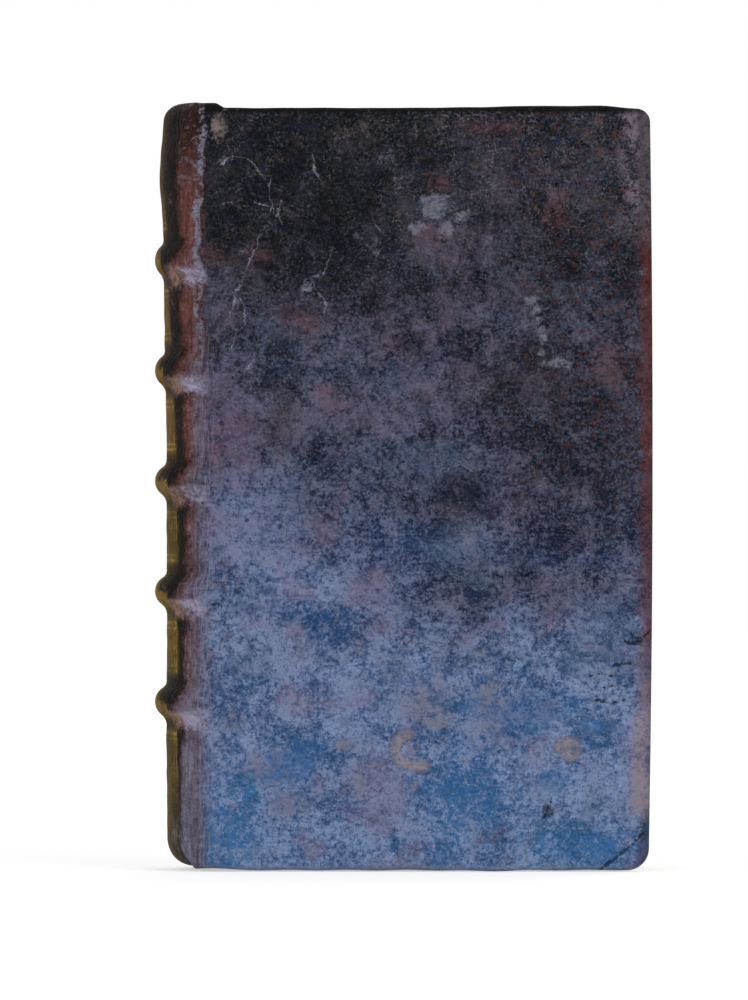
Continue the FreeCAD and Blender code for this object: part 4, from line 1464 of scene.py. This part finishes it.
# %% Finish of the silk
silk = Finish("wound_silk")
turns = silk.split(silk.layer("winding"))[0]
pair = silk.node("ShaderNodeMath", {"operation": "PINGPONG"}, {0: turns, 1: 1.0})
sheen = silk.noise(silk.layer("winding"), 3.0, 3.0, 0.6)
silk_colour = silk.blend(silk.step(pair, 0.45, 0.55), tint(96, 84, 52), tint(188, 170, 128))
silk.surface(silk.blend(0.5 * sheen, silk_colour, tint(70, 58, 44)), 0.5, specular=0.4)
silk.dress("head_silk_winding", "tail_silk_winding")

# %% [markdown]
# ## Floor
#
# The photograph has a white ground. A pale floor takes the book's shadow, and glows only for the rays
# that look at it, so its glow adds no light to the book.

# %% Floor
FLOOR_GLOW = 0.52
FLOOR_REACH = 4

white = Finish("floor_white")
white.surface((0.8, 0.8, 0.8, 1.0), 0.9, specular=0.0)
glow = white.blend(white.seen(), tint(0, 0, 0), (FLOOR_GLOW, FLOOR_GLOW, FLOOR_GLOW, 1.0))
white.feed(white.shader.inputs["Emission Color"], glow)
white.shader.inputs["Emission Strength"].default_value = 1.0
floor_mesh = bpy.data.meshes.new("floor")
corners = [(-FLOOR_REACH, -FLOOR_REACH, 0), (FLOOR_REACH, -FLOOR_REACH, 0)]
corners += [(FLOOR_REACH, FLOOR_REACH, 0), (-FLOOR_REACH, FLOOR_REACH, 0)]
floor_mesh.from_pydata(corners, [], [(0, 1, 2, 3)])
floor = bpy.data.objects.new("floor", floor_mesh)
floor_mesh.materials.append(white.material)
bpy.context.collection.objects.link(floor)
print("floor", 2 * FLOOR_REACH, "m wide")

# %% [markdown]
# ## World
#
# The world is seen as plain white, but lights the book with less than that, which keeps the leather as
# dark as it is. Its nodes come from the same methods as those of a finish.

# %% World
AMBIENT = 0.40


class Sky(Finish):
    """The network of a world, whose shader is its background."""

    def __init__(self, name):
        world = bpy.data.worlds.new(name)
        world.use_nodes = True
        bpy.context.scene.world = world
        self.tree = world.node_tree
        self.shader = self.tree.nodes["Background"]


sky = Sky("studio")
strength_sockets = {"Value": sky.seen(), "To Min": AMBIENT, "To Max": 1.0}
sky.feed(sky.shader.inputs["Strength"], sky.node("ShaderNodeMapRange", None, strength_sockets))
sky.feed(sky.shader.inputs["Color"], (1, 1, 1, 1))
print("world lights with strength", AMBIENT)

# %% [markdown]
# ## Lamps
#
# The light in the photograph comes low from the left and grazes the leather, so its grain shows. A
# fill from the right and a weak lamp behind keep the other edges readable. All are soft suns, because
# a sun lights all sizes of book alike.

# %% Lamps
def soft_sun(name, azimuth, elevation, power):
    """A sun as wide as a large soft box. Azimuth is in degrees from the front, to the right."""
    data = bpy.data.lights.new(name, "SUN")
    data.angle = math.radians(35)
    data.energy = power
    lamp = bpy.data.objects.new(name, data)
    way, rise = math.radians(azimuth), math.radians(elevation)
    towards = Vector((math.sin(way) * math.cos(rise), -math.cos(way) * math.cos(rise), math.sin(rise)))
    lamp.location = towards * 2
    lamp.rotation_euler = towards.to_track_quat("Z", "Y").to_euler()
    bpy.context.collection.objects.link(lamp)
    print(name, "from", azimuth, "degrees at", elevation, "degrees with power", power)
    return lamp


soft_sun("low_key", -32, 14, 1.0)
soft_sun("right_fill", 42, 34, 0.68)
soft_sun("back_light", 165, 55, 0.5)
bpy.context.scene.view_settings.view_transform = "Standard"

# %% [markdown]
# ## Camera
#
# The camera stands level and far away, square to the front cover. The book takes up the same pixels as
# in the photograph: its width in pixels gives the scale, and with it the field of view and the place.

# %% Camera
CAMERA_FAR = 2.4
PHOTO_MIDDLE = (374.4, 500)
BOOK_WIDE = 499.4
BOOK_MIDDLE_X = 403.5
BOOK_FOOT_Y = 871.8

camera_data = bpy.data.cameras.new("camera")
camera = bpy.data.objects.new("camera", camera_data)
bpy.context.collection.objects.link(camera)
pixels_per_mm = BOOK_WIDE / (cover_high[0] - band_x)
view_height = 2 * PHOTO_MIDDLE[1] / pixels_per_mm * METRES_PER_MM
camera_data.sensor_fit = "VERTICAL"
camera_data.angle_y = 2 * math.atan(view_height / 2 / CAMERA_FAR)
middle_x = ((PHOTO_MIDDLE[0] - BOOK_MIDDLE_X) / pixels_per_mm) * METRES_PER_MM
middle_z = ((BOOK_FOOT_Y - PHOTO_MIDDLE[1]) / pixels_per_mm) * METRES_PER_MM
camera.location = (middle_x, -CAMERA_FAR - cover_y * METRES_PER_MM, middle_z)
camera.rotation_euler = (math.pi / 2, 0, 0)
bpy.context.scene.camera = camera
print("camera", CAMERA_FAR, "m away,", round(pixels_per_mm, 2), "pixels per mm")
